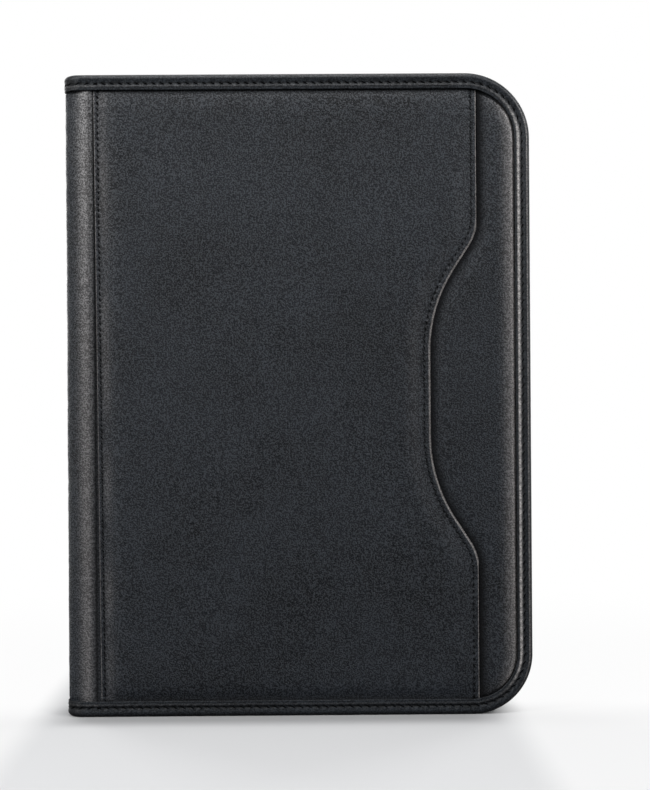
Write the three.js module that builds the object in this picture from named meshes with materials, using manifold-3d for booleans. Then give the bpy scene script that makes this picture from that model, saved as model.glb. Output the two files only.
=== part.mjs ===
// Zip-around padfolio, standing upright and closed, in millimetres.
// +Z is up, the spine faces -X, the front cover faces -Y, and the origin is the middle of the foot.
// Inside the model, u is measured from the spine's outer face and h outward from the mid-plane.

import * as THREE from 'three';
import Module from 'manifold-3d';
import { mergeVertices } from 'three/addons/utils/BufferGeometryUtils.js';

const wasm = await Module();
wasm.setup();

// Writing pad, and the margins that the case keeps round it
const padWidth = 216;
const padHeight = 279;
const padStack = 5.3;
const padLeft = 13;
const padFoot = 24;
const padForeMargin = 11;
const padHeadMargin = 27;
const backboardThickness = 0.8;
const headTape = 0.4;
const headTapeHeight = 15;

// Case
const caseWidth = padLeft + padWidth + padForeMargin;
const caseHeight = padFoot + padHeight + padHeadMargin;
const caseThickness = 32;
const upperCornerRadius = 33.5;
const lowerCornerRadius = 31;
const spineCornerRadius = 9;

// Sheet materials of the covers
const pocketLeather = 1.4;
const pocketSlack = 0.2;
const baseLeather = 1.2;
const frontFoamThickness = 1.4;
const boardThickness = 1.6;
const liningThickness = 0.6;
const spineLeather = 1.2;
const spineBoardThickness = 2;
const spineBoardWidth = 16;

// Edge binding
const bindingWidth = 7.8;
const bindingLeather = 0.7;
const bindingReturn = 4.6;
const bindingOuterRound = 1.6;
const bindingInnerRound = 0.7;
const bindingLipBevel = 0.3;

// Front pocket with its scooped mouth
const mouthInset = 28.2;
const scoopDepth = 24.7;
const scoopFlat = 43.4;
const scoopFloorRadius = 78.7;
const scoopShoulderRadius = 27.3;
const scoopSlope = THREE.MathUtils.degToRad(32.9);
const mouthGroove = 2;
const paddingBevel = 0.8;

// Seams between the spine leather and the covers
const seamInsetTop = 15.1;
const seamInsetBottom = 17.2;
const backSeamInset = 16;
const spineCrownWidth = 1.6;
const seamDip = 2.6;
const seamUnderlap = 4;

// Zip
const tapeThickness = 0.7;
const tapeInset = 5;
const tapeStart = 14;
const toothPitch = 3.6;
const toothThickness = 2;
const toothBead = 1.6;
const toothReach = 2;
const toothNeck = 1.3;
const toothHead = 1.9;
const toothGap = 2;
const stopLength = 2.6;
const stopInset = 20;

// Slider and its pull
const sliderLength = 14;
const sliderPlate = 1.2;
const sliderRim = 1.1;
const sliderShoulder = 0.7;
const sliderWedge = 1.3;
const bailSpan = 8;
const bailWidth = 2;
const bailPost = 1.5;
const bailRoof = 0.7;
const pullThickness = 1;
const pullRail = 1.6;
const pullLength = 30;
const pullEndWidth = 5;
const pullHole = 1.3;

// Pocket that holds the pad
const padPocketLeather = 1;
const padPocketHeight = 205;
const pocketSeam = 0.8;

// Organizer inside the front cover
const organizerLeft = 22;
const documentLeather = 0.8;
const documentRoom = 0.7;
const documentMouthLow = 215;
const documentMouthHigh = 250;
const cardLeather = 0.7;
const cardPocketWidth = 102;
const cardPocketLeft = 30;
const cardPocketFoot = 40;
const cardPocketFirst = 68;
const cardPocketStep = 24;
const cardScoop = 3;
const windowGap = 11;
const windowForeMargin = 17;
const windowFoot = 60;
const windowHeight = 92;
const windowBorder = 9;
const windowFilm = 0.3;
const windowRound = 4;
const penLoopWidth = 11;
const penLoopRise = 7.3;
const penLoopLength = 30;
const penLoopWall = 1;
const penLoopLeft = 8.5;
const penLoopFoot = 150;
const penLoopRound = 3.2;

// Clearances and facets
const edgeGap = 0.3;
const looseGap = 0.3;
const hingeSlit = 0.3;
const cornerFacets = 9;
const bendFacets = 3;
const scoopFacets = 5;
const extremeHeight = caseThickness / 2;

// Planes of one cover, counted inward from the outer face of the case.
function coverPlanes(outerLeather, foamTop) {
  const face = extremeHeight - bindingLeather;
  const boardTop = extremeHeight - bindingLeather - pocketLeather - pocketSlack - baseLeather
    - frontFoamThickness;
  const inner = boardTop - boardThickness - liningThickness;
  return {
    face,
    leatherInner: face - outerLeather,
    foamTop,
    boardTop,
    liningTop: boardTop - boardThickness,
    inner,
    bindingReturnTop: inner - tapeThickness,
    bindingReturnFace: inner - tapeThickness - bindingLeather,
  };
}

const faceHeight = extremeHeight - bindingLeather;
const pocketInner = faceHeight - pocketLeather;
const baseTop = pocketInner - pocketSlack;
const front = coverPlanes(pocketLeather, baseTop - baseLeather);
const back = coverPlanes(baseLeather, faceHeight - baseLeather);

const mouthEdge = caseWidth - mouthInset;
const windowLeft = cardPocketLeft + cardPocketWidth + windowGap;
const windowWidth = caseWidth - windowForeMargin - windowLeft;
const panelInset = bindingLeather + edgeGap;
const spineFace = bindingLeather + edgeGap;
const spineInner = spineFace + spineLeather;
const spineBoardFace = spineInner + edgeGap;
const spineLiningFace = spineBoardFace + spineBoardThickness;
const spineReturnFace = spineLiningFace + liningThickness;
const cornerHeight = extremeHeight - spineCornerRadius;
const tailEnd = seamInsetBottom + seamUnderlap;
const linerInset = tapeInset + tapeThickness + 0.5;

const toothBack = toothGap / 2 + toothReach + toothBead;
const toothRoot = toothGap / 2 + toothReach;
const toothTip = toothGap / 2;
const tapeEdge = toothBack + looseGap;
const chainDepth = tapeInset + tapeThickness / 2;
const sliderChannel = toothThickness / 2 + looseGap;
const sliderSlit = tapeThickness / 2 + looseGap;
const sliderStart = stopInset + stopLength + 1.4;
const sliderCentre = sliderStart + sliderLength / 2;
const pullHeight = sliderChannel + sliderPlate + looseGap + 0.6;
const pullEye = bailSpan / 2 + looseGap + 0.5;
const pullSwingClear = 3;

// Colours
const leatherLook = { color: 0x24282d, roughness: 0.62, metalness: 0 };
const bindingLook = { color: 0x1f2328, roughness: 0.5, metalness: 0 };
const liningLook = { color: 0x17181b, roughness: 0.9, metalness: 0 };
const foamLook = { color: 0x8f8f8a, roughness: 1, metalness: 0 };
const boardLook = { color: 0x8c7f6c, roughness: 0.9, metalness: 0 };
const tapeLook = { color: 0x141518, roughness: 0.95, metalness: 0 };
const toothLook = { color: 0x1a1a1c, roughness: 0.4, metalness: 0 };
const metalLook = { color: 0x6f7276, roughness: 0.3, metalness: 1 };
const paperLook = { color: 0xf0eee6, roughness: 0.9, metalness: 0 };
const filmLook = { color: 0xcfd6da, roughness: 0.1, metalness: 0, transparent: true, opacity: 0.4 };

// Geometry helpers

function outward(geometry) {
  const p = geometry.getAttribute('position');
  const index = geometry.getIndex();
  const a = new THREE.Vector3();
  const b = new THREE.Vector3();
  const c = new THREE.Vector3();
  let volume = 0;
  for (let i = 0; i < index.count; i += 3) {
    a.fromBufferAttribute(p, index.getX(i));
    b.fromBufferAttribute(p, index.getX(i + 1));
    c.fromBufferAttribute(p, index.getX(i + 2));
    volume += a.dot(b.cross(c));
  }
  if (volume > 0) return geometry;
  const order = Array.from(index.array);
  for (let i = 0; i < order.length; i += 3) [order[i], order[i + 1]] = [order[i + 1], order[i]];
  geometry.setIndex(order);
  return geometry;
}

// Joins coincident corners and drops the empty triangles that this leaves.
function welded(geometry) {
  const bare = new THREE.BufferGeometry();
  bare.setAttribute('position', geometry.getAttribute('position'));
  if (geometry.getIndex()) bare.setIndex(geometry.getIndex());
  const merged = mergeVertices(bare, 1e-4);
  const index = merged.getIndex().array;
  const kept = [];
  for (let i = 0; i < index.length; i += 3) {
    const [a, b, c] = index.slice(i, i + 3);
    if (a !== b && b !== c && c !== a) kept.push(a, b, c);
  }
  merged.setIndex(kept);
  return outward(merged);
}

function placed(geometry, place) {
  const p = geometry.getAttribute('position');
  for (let i = 0; i < p.count; i += 1) {
    p.setXYZ(i, ...place(p.getX(i), p.getY(i), p.getZ(i)));
  }
  return welded(geometry);
}

function solid(geometry) {
  return new wasm.Manifold(new wasm.Mesh({
    numProp: 3,
    vertProperties: new Float32Array(geometry.getAttribute('position').array),
    triVerts: new Uint32Array(geometry.getIndex().array),
  }));
}

function geometryOf(body) {
  const mesh = body.getMesh();
  const geometry = new THREE.BufferGeometry();
  geometry.setAttribute('position', new THREE.BufferAttribute(mesh.vertProperties, 3));
  geometry.setIndex(new THREE.BufferAttribute(mesh.triVerts, 1));
  return welded(geometry);
}

function joined(first, ...others) {
  return geometryOf(others.reduce((body, other) => body.add(solid(other)), solid(first)));
}

function shared(first, other) {
  return geometryOf(solid(first).intersect(solid(other)));
}

function cut(first, ...tools) {
  return geometryOf(tools.reduce((body, tool) => body.subtract(solid(tool)), solid(first)));
}

// A flat outline in (u, z), made solid between two heights on one side of the mid-plane.
function sheet(shape, side, low, high, facets = cornerFacets) {
  const geometry = new THREE.ExtrudeGeometry(shape, {
    depth: 1, steps: 1, bevelEnabled: false, curveSegments: facets,
  });
  return placed(geometry, (u, z, t) => [u, side * (t > 0.5 ? high : low), z]);
}

// A plan outline in (u, h), made solid between two levels.
function upright(shape, side, bottom, top, facets = bendFacets) {
  const geometry = new THREE.ExtrudeGeometry(shape, {
    depth: 1, steps: 1, bevelEnabled: false, curveSegments: facets,
  });
  return placed(geometry, (u, h, t) => [u, side * h, t > 0.5 ? top : bottom]);
}

// A level outline in (x, y), made solid between two levels.
function level(shape, bottom, top, facets = bendFacets) {
  return upright(shape, 1, bottom, top, facets);
}

function block(x0, x1, y0, y1, z0, z1) {
  const box = new THREE.BoxGeometry(x1 - x0, y1 - y0, z1 - z0);
  return welded(box.translate((x0 + x1) / 2, (y0 + y1) / 2, (z0 + z1) / 2));
}

function roundedRectangle(x0, x1, y0, y1, r, Kind = THREE.Shape) {
  const shape = new Kind();
  shape.moveTo(x0 + r, y0);
  shape.lineTo(x1 - r, y0);
  shape.absarc(x1 - r, y0 + r, r, -Math.PI / 2, 0, false);
  shape.lineTo(x1, y1 - r);
  shape.absarc(x1 - r, y1 - r, r, 0, Math.PI / 2, false);
  shape.lineTo(x0 + r, y1);
  shape.absarc(x0 + r, y1 - r, r, Math.PI / 2, Math.PI, false);
  shape.lineTo(x0, y0 + r);
  shape.absarc(x0 + r, y0 + r, r, Math.PI, Math.PI * 1.5, false);
  return shape;
}

// Outlines of the covers

function traceOuterEdge(shape, inset) {
  shape.lineTo(caseWidth - lowerCornerRadius, inset);
  shape.absarc(caseWidth - lowerCornerRadius, lowerCornerRadius, lowerCornerRadius - inset,
    -Math.PI / 2, 0, false);
  shape.lineTo(caseWidth - inset, caseHeight - upperCornerRadius);
  shape.absarc(caseWidth - upperCornerRadius, caseHeight - upperCornerRadius,
    upperCornerRadius - inset, 0, Math.PI / 2, false);
}

function coverOutline(left, inset) {
  const shape = new THREE.Shape();
  shape.moveTo(left, inset);
  traceOuterEdge(shape, inset);
  shape.lineTo(left, caseHeight - inset);
  shape.closePath();
  return shape;
}

// The pocket mouth from foot to head, moved to the right by an offset.
function traceMouthUp(shape, offset) {
  const middle = caseHeight / 2;
  const floor = scoopFloorRadius;
  const shoulder = scoopShoulderRadius;
  const turn = 1 - Math.cos(scoopSlope);
  const run = (scoopDepth - (floor + shoulder) * turn) / Math.sin(scoopSlope);
  const floorU = mouthEdge - scoopDepth + floor;
  const shoulderU = mouthEdge - shoulder;
  const floorRise = scoopFlat / 2;
  const shoulderRise = floorRise + (floor + shoulder) * Math.sin(scoopSlope)
    + run * Math.cos(scoopSlope);
  shape.lineTo(mouthEdge + offset, middle - shoulderRise);
  shape.absarc(shoulderU, middle - shoulderRise, shoulder + offset, 0, scoopSlope, false);
  shape.absarc(floorU, middle - floorRise, floor - offset, Math.PI + scoopSlope, Math.PI, true);
  shape.absarc(floorU, middle + floorRise, floor - offset, Math.PI, Math.PI - scoopSlope, true);
  shape.absarc(shoulderU, middle + shoulderRise, shoulder + offset, -scoopSlope, 0, false);
}

// Rim of the case, as stations where a section of depth and height is placed

function hingeStation(upper, turn) {
  return (depth, height) => {
    const reach = height - cornerHeight;
    return [
      spineCornerRadius - reach * Math.sin(turn),
      cornerHeight + reach * Math.cos(turn),
      upper ? caseHeight - depth : depth,
    ];
  };
}

function runStation(upper, u) {
  return (depth, height) => [u, height, upper ? caseHeight - depth : depth];
}

function cornerStation(upper, turn) {
  const radius = upper ? upperCornerRadius : lowerCornerRadius;
  const centreZ = upper ? caseHeight - radius : radius;
  return (depth, height) => [
    caseWidth - radius + (radius - depth) * Math.cos(turn),
    height,
    centreZ + (radius - depth) * Math.sin(turn),
  ];
}

function rimStations(start, hinged) {
  const stations = [];
  const bend = Math.PI / 4;
  if (hinged) {
    for (let i = bendFacets; i > 0; i -= 1) stations.push(hingeStation(true, bend * i / bendFacets));
  }
  stations.push(runStation(true, start));
  for (let i = 0; i <= cornerFacets; i += 1) {
    stations.push(cornerStation(true, Math.PI / 2 * (1 - i / cornerFacets)));
  }
  for (let i = 0; i <= cornerFacets; i += 1) {
    stations.push(cornerStation(false, -Math.PI / 2 * i / cornerFacets));
  }
  stations.push(runStation(false, start));
  if (hinged) {
    for (let i = 1; i <= bendFacets; i += 1) stations.push(hingeStation(false, bend * i / bendFacets));
  }
  return stations;
}

// Sweeps a closed section of [depth, height] points through the stations.
function swept(section, stations, side) {
  const n = section.length;
  const positions = [];
  for (const station of stations) {
    for (const [depth, height] of section) {
      const [u, h, z] = station(depth, height);
      positions.push(u, side * h, z);
    }
  }
  const index = [];
  for (let s = 0; s + 1 < stations.length; s += 1) {
    for (let i = 0; i < n; i += 1) {
      const a = s * n + i;
      const b = s * n + (i + 1) % n;
      index.push(a, b, a + n, b, b + n, a + n);
    }
  }
  const cap = THREE.ShapeUtils.triangulateShape(section.map(([x, y]) => new THREE.Vector2(x, y)), []);
  const last = (stations.length - 1) * n;
  const clockwise = THREE.ShapeUtils.isClockWise(section.map(([x, y]) => ({ x, y })));
  for (const [a, b, c] of cap) {
    if (clockwise) {
      index.push(a, b, c, last + a, last + c, last + b);
    } else {
      index.push(a, c, b, last + a, last + b, last + c);
    }
  }
  const geometry = new THREE.BufferGeometry();
  geometry.setAttribute('position', new THREE.Float32BufferAttribute(positions, 3));
  geometry.setIndex(index);
  return welded(geometry);
}

function arcPoints(x, y, r, from, to, facets) {
  const points = [];
  for (let i = 0; i <= facets; i += 1) {
    const a = from + (to - from) * i / facets;
    points.push([x + r * Math.cos(a), y + r * Math.sin(a)]);
  }
  return points;
}

// The thin gap left at the fold line, so that two neighbours of the hinge part there.
function foldSlit(side) {
  const slab = new THREE.BoxGeometry(4 * spineCornerRadius, hingeSlit, 2 * caseHeight);
  slab.rotateZ(-side * Math.PI / 4);
  slab.translate(spineCornerRadius, side * cornerHeight, caseHeight / 2);
  return welded(slab);
}

// Bindings

function coverBinding(planes, side) {
  const outer = bindingOuterRound;
  const inner = bindingInnerRound;
  const section = [
    [bindingWidth, planes.face],
    [bindingWidth, extremeHeight - bindingLipBevel],
    [bindingWidth - bindingLipBevel, extremeHeight],
    ...arcPoints(outer, extremeHeight - outer, outer, Math.PI / 2, Math.PI, bendFacets),
    ...arcPoints(inner, planes.bindingReturnFace + inner, inner, Math.PI, Math.PI * 1.5, 2),
    [bindingReturn, planes.bindingReturnFace],
    [bindingReturn, planes.bindingReturnTop],
    [bindingLeather, planes.bindingReturnTop],
    [bindingLeather, planes.face],
  ];
  return cut(swept(section, rimStations(spineCornerRadius, true), side), foldSlit(side));
}

// The binding over one end of the spine, turned about both rounded corners.
function spineBinding(upper) {
  const outer = bindingOuterRound;
  const inner = bindingInnerRound;
  const section = [
    [bindingWidth, bindingLeather],
    [bindingWidth, bindingLipBevel],
    [bindingWidth - bindingLipBevel, 0],
    ...arcPoints(outer, outer, outer, -Math.PI / 2, -Math.PI, bendFacets),
    ...arcPoints(inner, spineReturnFace + bindingLeather - inner, inner, Math.PI, Math.PI / 2, 2),
    [bindingReturn, spineReturnFace + bindingLeather],
    [bindingReturn, spineReturnFace],
    [bindingLeather, spineReturnFace],
    [bindingLeather, bindingLeather],
  ];
  const stations = [];
  for (const side of [-1, 1]) {
    for (let i = 0; i <= bendFacets; i += 1) {
      const share = side < 0 ? i / bendFacets : 1 - i / bendFacets;
      const turn = Math.PI / 4 * (1 + share);
      stations.push((depth, inward) => {
        const reach = spineCornerRadius - inward;
        return [
          spineCornerRadius - reach * Math.sin(turn),
          side * (cornerHeight + reach * Math.cos(turn)),
          upper ? caseHeight - depth : depth,
        ];
      });
    }
  }
  return cut(swept(section, stations, 1), foldSlit(-1), foldSlit(1));
}

// Spine leather

function traceTail(shape, tail, sign, thickness) {
  const crownEnd = spineCornerRadius + spineCrownWidth;
  const crown = extremeHeight - spineFace - thickness;
  const low = tail - thickness;
  const dipEnd = Math.min(seamInsetTop, backSeamInset) - 0.5;
  const dipStart = dipEnd - seamDip;
  const steps = 4;
  const points = [];
  points.push([Math.min(crownEnd, dipStart), crown]);
  for (let i = 1; i <= steps; i += 1) {
    const share = i / steps;
    const ease = (1 - Math.cos(Math.PI * share)) / 2;
    points.push([dipStart + seamDip * share, crown + (low - crown) * ease]);
  }
  points.push([tailEnd, low]);
  if (sign < 0) points.reverse();
  for (const [u, h] of points) shape.lineTo(u, h);
}

// The strip that turns the corner and runs in under the edge of the cover's leather.
function spineStrip(side, tail) {
  const outer = spineCornerRadius - spineFace;
  const shape = new THREE.Shape();
  const c = spineCornerRadius;
  const rise = cornerHeight;
  shape.moveTo(c - outer * Math.SQRT1_2, rise + outer * Math.SQRT1_2);
  shape.absarc(c, rise, outer, Math.PI * 0.75, Math.PI / 2, true);
  traceTail(shape, tail, 1, 0);
  traceTail(shape, tail, -1, spineLeather);
  shape.absarc(c, rise, outer - spineLeather, Math.PI / 2, Math.PI * 0.75, false);
  shape.closePath();
  return cut(upright(shape, side, panelInset, caseHeight - panelInset), foldSlit(side));
}

function spinePanel() {
  const outer = spineCornerRadius - spineFace;
  const inner = outer - spineLeather;
  const c = spineCornerRadius;
  const shape = new THREE.Shape();
  shape.moveTo(c - outer * Math.SQRT1_2, cornerHeight + outer * Math.SQRT1_2);
  shape.absarc(c, cornerHeight, outer, Math.PI * 0.75, Math.PI, false);
  shape.absarc(c, -cornerHeight, outer, Math.PI, Math.PI * 1.25, false);
  shape.absarc(c, -cornerHeight, inner, Math.PI * 1.25, Math.PI, true);
  shape.absarc(c, cornerHeight, inner, Math.PI, Math.PI * 0.75, true);
  shape.closePath();
  const skin = level(shape, panelInset, caseHeight - panelInset);
  return cut(skin, foldSlit(-1), foldSlit(1));
}

// Covers

// The region to one side of the pocket mouth, reaching past the case on the far side.
function mouthRegion(far, offset) {
  const shape = new THREE.Shape();
  shape.moveTo(far, -edgeGap);
  shape.lineTo(mouthEdge + offset, -edgeGap);
  traceMouthUp(shape, offset);
  shape.lineTo(mouthEdge + offset, caseHeight + edgeGap);
  shape.lineTo(far, caseHeight + edgeGap);
  shape.closePath();
  return shape;
}

function pocketPanel() {
  const shape = new THREE.Shape();
  shape.moveTo(seamInsetBottom, panelInset);
  traceOuterEdge(shape, panelInset);
  shape.lineTo(seamInsetTop, caseHeight - panelInset);
  shape.closePath();
  const whole = sheet(shape, -1, pocketInner, faceHeight);
  const beyond = mouthRegion(2 * caseWidth, 0);
  return cut(whole, sheet(beyond, -1, 0, caseThickness, scoopFacets));
}

// Padded leather that shows beside the pocket mouth, on the sheet that runs on behind the pocket.
function basePanel() {
  const root = baseTop - baseLeather + 0.1;
  const depth = faceHeight - root - 2 * paddingBevel;
  const bevelled = (shape, facets) => {
    const body = new THREE.ExtrudeGeometry(shape, {
      depth,
      steps: 1,
      bevelThickness: paddingBevel,
      bevelSize: paddingBevel,
      bevelOffset: -paddingBevel,
      bevelSegments: 2,
      curveSegments: facets,
    });
    const top = depth + paddingBevel - 1e-4;
    return placed(body, (u, z, t) => [u, -(t > top ? faceHeight : root + paddingBevel + t), z]);
  };
  const plate = sheet(coverOutline(tailEnd + edgeGap, panelInset), -1, front.foamTop, baseTop);
  const inside = bevelled(coverOutline(mouthEdge - 2 * scoopDepth, panelInset), cornerFacets);
  const beside = bevelled(mouthRegion(2 * caseWidth, mouthGroove), scoopFacets);
  return joined(plate, shared(inside, beside));
}

function lining(planes, side) {
  const left = extremeHeight - planes.inner + looseGap + 0.2;
  return sheet(coverOutline(left, panelInset), side, planes.inner, planes.liningTop);
}

// Zip

function zipTape(planes, side) {
  const section = [
    [panelInset, planes.inner],
    [tapeInset + tapeThickness, planes.inner],
    [tapeInset + tapeThickness, tapeEdge],
    [tapeInset, tapeEdge],
    [tapeInset, planes.bindingReturnTop],
    [panelInset, planes.bindingReturnTop],
  ];
  return swept(section, rimStations(tapeStart, false), side);
}

const upperRun = caseWidth - upperCornerRadius;
const upperArc = (upperCornerRadius - chainDepth) * Math.PI / 2;
const sideRun = caseHeight - upperCornerRadius - lowerCornerRadius;
const lowerArc = (lowerCornerRadius - chainDepth) * Math.PI / 2;
const lowerRun = caseWidth - lowerCornerRadius;
const chainTurns = [
  upperRun,
  upperRun + upperArc,
  upperRun + upperArc + sideRun,
  upperRun + upperArc + sideRun + lowerArc,
];
const chainLength = chainTurns[3] + lowerRun;

// Places a point of the chain by its distance along the rim, its depth and its height.
function chainPoint(s, depth, height) {
  const [a, b, c, d] = chainTurns;
  if (s < a) return runStation(true, s)(depth, height);
  if (s < b) return cornerStation(true, Math.PI / 2 * (1 - (s - a) / upperArc))(depth, height);
  if (s < c) return [caseWidth - depth, height, caseHeight - upperCornerRadius - (s - b)];
  if (s < d) return cornerStation(false, -Math.PI / 2 * (s - c) / lowerArc)(depth, height);
  return runStation(false, chainLength - s)(depth, height);
}

function inCorner(s) {
  const [a, b, c, d] = chainTurns;
  const reach = toothPitch / 2;
  return (s > a - reach && s < b + reach) || (s > c - reach && s < d + reach);
}

// Groups the teeth into spans: one tooth each in the corners, a whole run each between them.
function chainSpans(first, count) {
  const spans = [];
  for (let k = 0; k < count; k += 1) {
    const s = first + k * toothPitch;
    const corner = inCorner(s);
    const previous = spans[spans.length - 1];
    if (corner || !previous || previous.corner) {
      spans.push({ corner, teeth: [s] });
    } else {
      previous.teeth.push(s);
    }
  }
  return spans;
}

function spanOutline(teeth) {
  const half = toothPitch / 2;
  const outline = [];
  outline.push([teeth[0] - half, toothRoot]);
  for (const s of teeth) {
    outline.push([s - toothNeck / 2, toothRoot]);
    outline.push([s - toothHead / 2, toothTip]);
    outline.push([s + toothHead / 2, toothTip]);
    outline.push([s + toothNeck / 2, toothRoot]);
  }
  outline.push([teeth[teeth.length - 1] + half, toothRoot]);
  return outline;
}

function toothChain(side, start, end, phase) {
  const steps = Math.floor((end - start) / toothPitch - 0.5);
  const first = start + toothPitch * (0.5 + phase);
  const spans = chainSpans(first, steps);
  const half = toothPitch / 2;
  const near = chainDepth - toothThickness / 2;
  const far = chainDepth + toothThickness / 2;
  const positions = [];
  const corner = (s, h, depth) => {
    const [u, height, z] = chainPoint(s, depth, h);
    positions.push(u, side * height, z);
  };
  const wall = ([s0, h0], [s1, h1]) => {
    corner(s0, h0, near);
    corner(s1, h1, near);
    corner(s1, h1, far);
    corner(s0, h0, near);
    corner(s1, h1, far);
    corner(s0, h0, far);
  };
  spans.forEach(({ teeth }, i) => {
    const from = teeth[0] - half;
    const to = teeth[teeth.length - 1] + half;
    const outline = spanOutline(teeth);
    const contour = [[from, toothBack], ...outline, [to, toothBack]];
    const flat = contour.map(([s, h]) => new THREE.Vector2(s, h));
    const clockwise = THREE.ShapeUtils.isClockWise(flat);
    for (const face of THREE.ShapeUtils.triangulateShape(flat, [])) {
      const [a, b, c] = clockwise ? [face[0], face[2], face[1]] : face;
      for (const k of [a, b, c]) corner(...contour[k], near);
      for (const k of [a, c, b]) corner(...contour[k], far);
    }
    for (let k = 0; k + 1 < outline.length; k += 1) wall(outline[k + 1], outline[k]);
    wall([from, toothBack], [to, toothBack]);
    if (i === 0) wall(outline[0], [from, toothBack]);
    if (i === spans.length - 1) wall([to, toothBack], outline[outline.length - 1]);
  });
  const geometry = new THREE.BufferGeometry();
  geometry.setAttribute('position', new THREE.Float32BufferAttribute(positions, 3));
  return welded(geometry);
}

function zipStop(side, upper) {
  const z = upper ? caseHeight - chainDepth : chainDepth;
  const half = toothThickness / 2;
  const shape = roundedRectangle(stopInset, stopInset + stopLength, z - half, z + half, 0.5);
  return sheet(shape, side, toothRoot - looseGap, toothBack, 2);
}

// Slider, in its own frame: x along the chain, z outward from the middle of the tape

function sliderOutline(grow) {
  const rear = toothBack + looseGap + sliderRim + grow;
  const nose = rear + sliderShoulder;
  const half = sliderLength / 2;
  const round = 1.4;
  const shape = new THREE.Shape();
  shape.moveTo(-half, -(rear - round));
  shape.quadraticCurveTo(-half, -rear, -half + round, -rear);
  shape.lineTo(0, -rear);
  shape.lineTo(half - 2 * round, -nose);
  shape.quadraticCurveTo(half, -nose, half, -(nose - 2 * round));
  shape.quadraticCurveTo(half, -round, half - 1, 0);
  shape.quadraticCurveTo(half, round, half, nose - 2 * round);
  shape.quadraticCurveTo(half, nose, half - 2 * round, nose);
  shape.lineTo(0, rear);
  shape.lineTo(-half + round, rear);
  shape.quadraticCurveTo(-half, rear, -half, rear - round);
  shape.closePath();
  return shape;
}

function sliderBody() {
  const outline = sliderOutline(0);
  const roof = sliderChannel + sliderPlate;
  const half = sliderLength / 2;
  const flange = toothBack + looseGap;
  const shell = level(outline, -roof, roof);
  const channel = block(-half - 1, half + 1, -flange, flange, -sliderChannel, sliderChannel);
  const wide = 2 * flange;
  const slit = block(-half - 1, half + 1, -wide, wide, -sliderSlit, sliderSlit);
  const wedge = new THREE.Shape();
  wedge.moveTo(0.5, 0);
  wedge.lineTo(half - 3, -sliderWedge / 2);
  wedge.lineTo(half - 1.5, 0);
  wedge.lineTo(half - 3, sliderWedge / 2);
  wedge.closePath();
  const post = level(wedge, -sliderChannel - sliderPlate / 2, sliderChannel + sliderPlate / 2);
  const top = pullHeight + pullThickness / 2 + looseGap + bailRoof + 0.2;
  const span = bailSpan / 2;
  const arch = new THREE.Shape();
  arch.moveTo(-span, roof - sliderPlate / 2);
  arch.lineTo(span, roof - sliderPlate / 2);
  arch.lineTo(span, top - 1);
  arch.quadraticCurveTo(span, top, span - 1.2, top);
  arch.lineTo(-span + 1.2, top);
  arch.quadraticCurveTo(-span, top, -span, top - 1);
  arch.closePath();
  const eye = roundedRectangle(-span + bailPost, span - bailPost, roof, top - bailRoof, 0.4);
  const bail = sheet(arch, 1, -bailWidth / 2, bailWidth / 2, 3);
  const hole = sheet(eye, 1, -bailWidth, bailWidth, 2);
  return joined(cut(shell, channel, slit), post, cut(bail, hole));
}

// The pull, lying flat along x, hinged on the bar that passes through the bail.
function pullTab() {
  const rail = bailWidth / 2 + looseGap + 0.2;
  const wide = rail + pullRail;
  const bar = pullThickness / 2;
  const shape = new THREE.Shape();
  const end = pullLength;
  const slim = pullEndWidth / 2;
  const neck = pullEye + pullRail;
  shape.moveTo(-bar, -wide + 0.6);
  shape.quadraticCurveTo(-bar, -wide, -bar + 0.6, -wide);
  shape.lineTo(neck - 1, -wide);
  shape.bezierCurveTo(neck + 1.5, -wide, neck + 1.5, -slim + 0.8, neck + 5, -slim + 0.6);
  shape.lineTo(end - slim, -slim);
  shape.absarc(end - slim, 0, slim, -Math.PI / 2, Math.PI / 2, false);
  shape.lineTo(neck + 5, slim - 0.6);
  shape.bezierCurveTo(neck + 1.5, slim - 0.8, neck + 1.5, wide, neck - 1, wide);
  shape.lineTo(-bar + 0.6, wide);
  shape.quadraticCurveTo(-bar, wide, -bar, wide - 0.6);
  shape.closePath();
  shape.holes.push(roundedRectangle(bar, pullEye, -rail, rail, 0.4, THREE.Path));
  const hole = new THREE.Path();
  hole.absarc(end - slim, 0, pullHole, 0, Math.PI * 2, false);
  shape.holes.push(hole);
  return level(shape, -pullThickness / 2, pullThickness / 2, 4);
}

// Contents

const pocketPlateTop = back.inner - 2 * looseGap - backboardThickness;
const pocketPlateFace = pocketPlateTop - padPocketLeather;
const backboardTop = back.inner - looseGap;
const sheetsTop = pocketPlateFace - looseGap;
const sheetsFace = sheetsTop - padStack;

// A leather panel sewn down round its foot and sides, open along a mouth line.
function sewnPocket(left, planes, side, plateTop, plateFace, mouthLeft, mouthRight) {
  const trim = (geometry) => {
    const above = new THREE.Shape();
    above.moveTo(0, mouthLeft);
    above.lineTo(caseWidth, mouthRight);
    above.lineTo(caseWidth, 2 * caseHeight);
    above.lineTo(0, 2 * caseHeight);
    above.closePath();
    return cut(geometry, sheet(above, side, 0, caseThickness));
  };
  const outer = sheet(coverOutline(left, linerInset), side, plateFace, planes.inner);
  const room = sheet(coverOutline(left + pocketSeam, linerInset + pocketSeam), side,
    plateTop, planes.inner + 1);
  return trim(cut(outer, room));
}

function padPocket() {
  const left = padLeft - looseGap - pocketSeam - 0.2;
  return sewnPocket(left, back, 1, pocketPlateTop, pocketPlateFace, padPocketHeight,
    padPocketHeight);
}

function padSheet(low, high, top) {
  const shape = roundedRectangle(padLeft, padLeft + padWidth, padFoot, top, 1);
  return sheet(shape, 1, low, high, 1);
}

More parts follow.
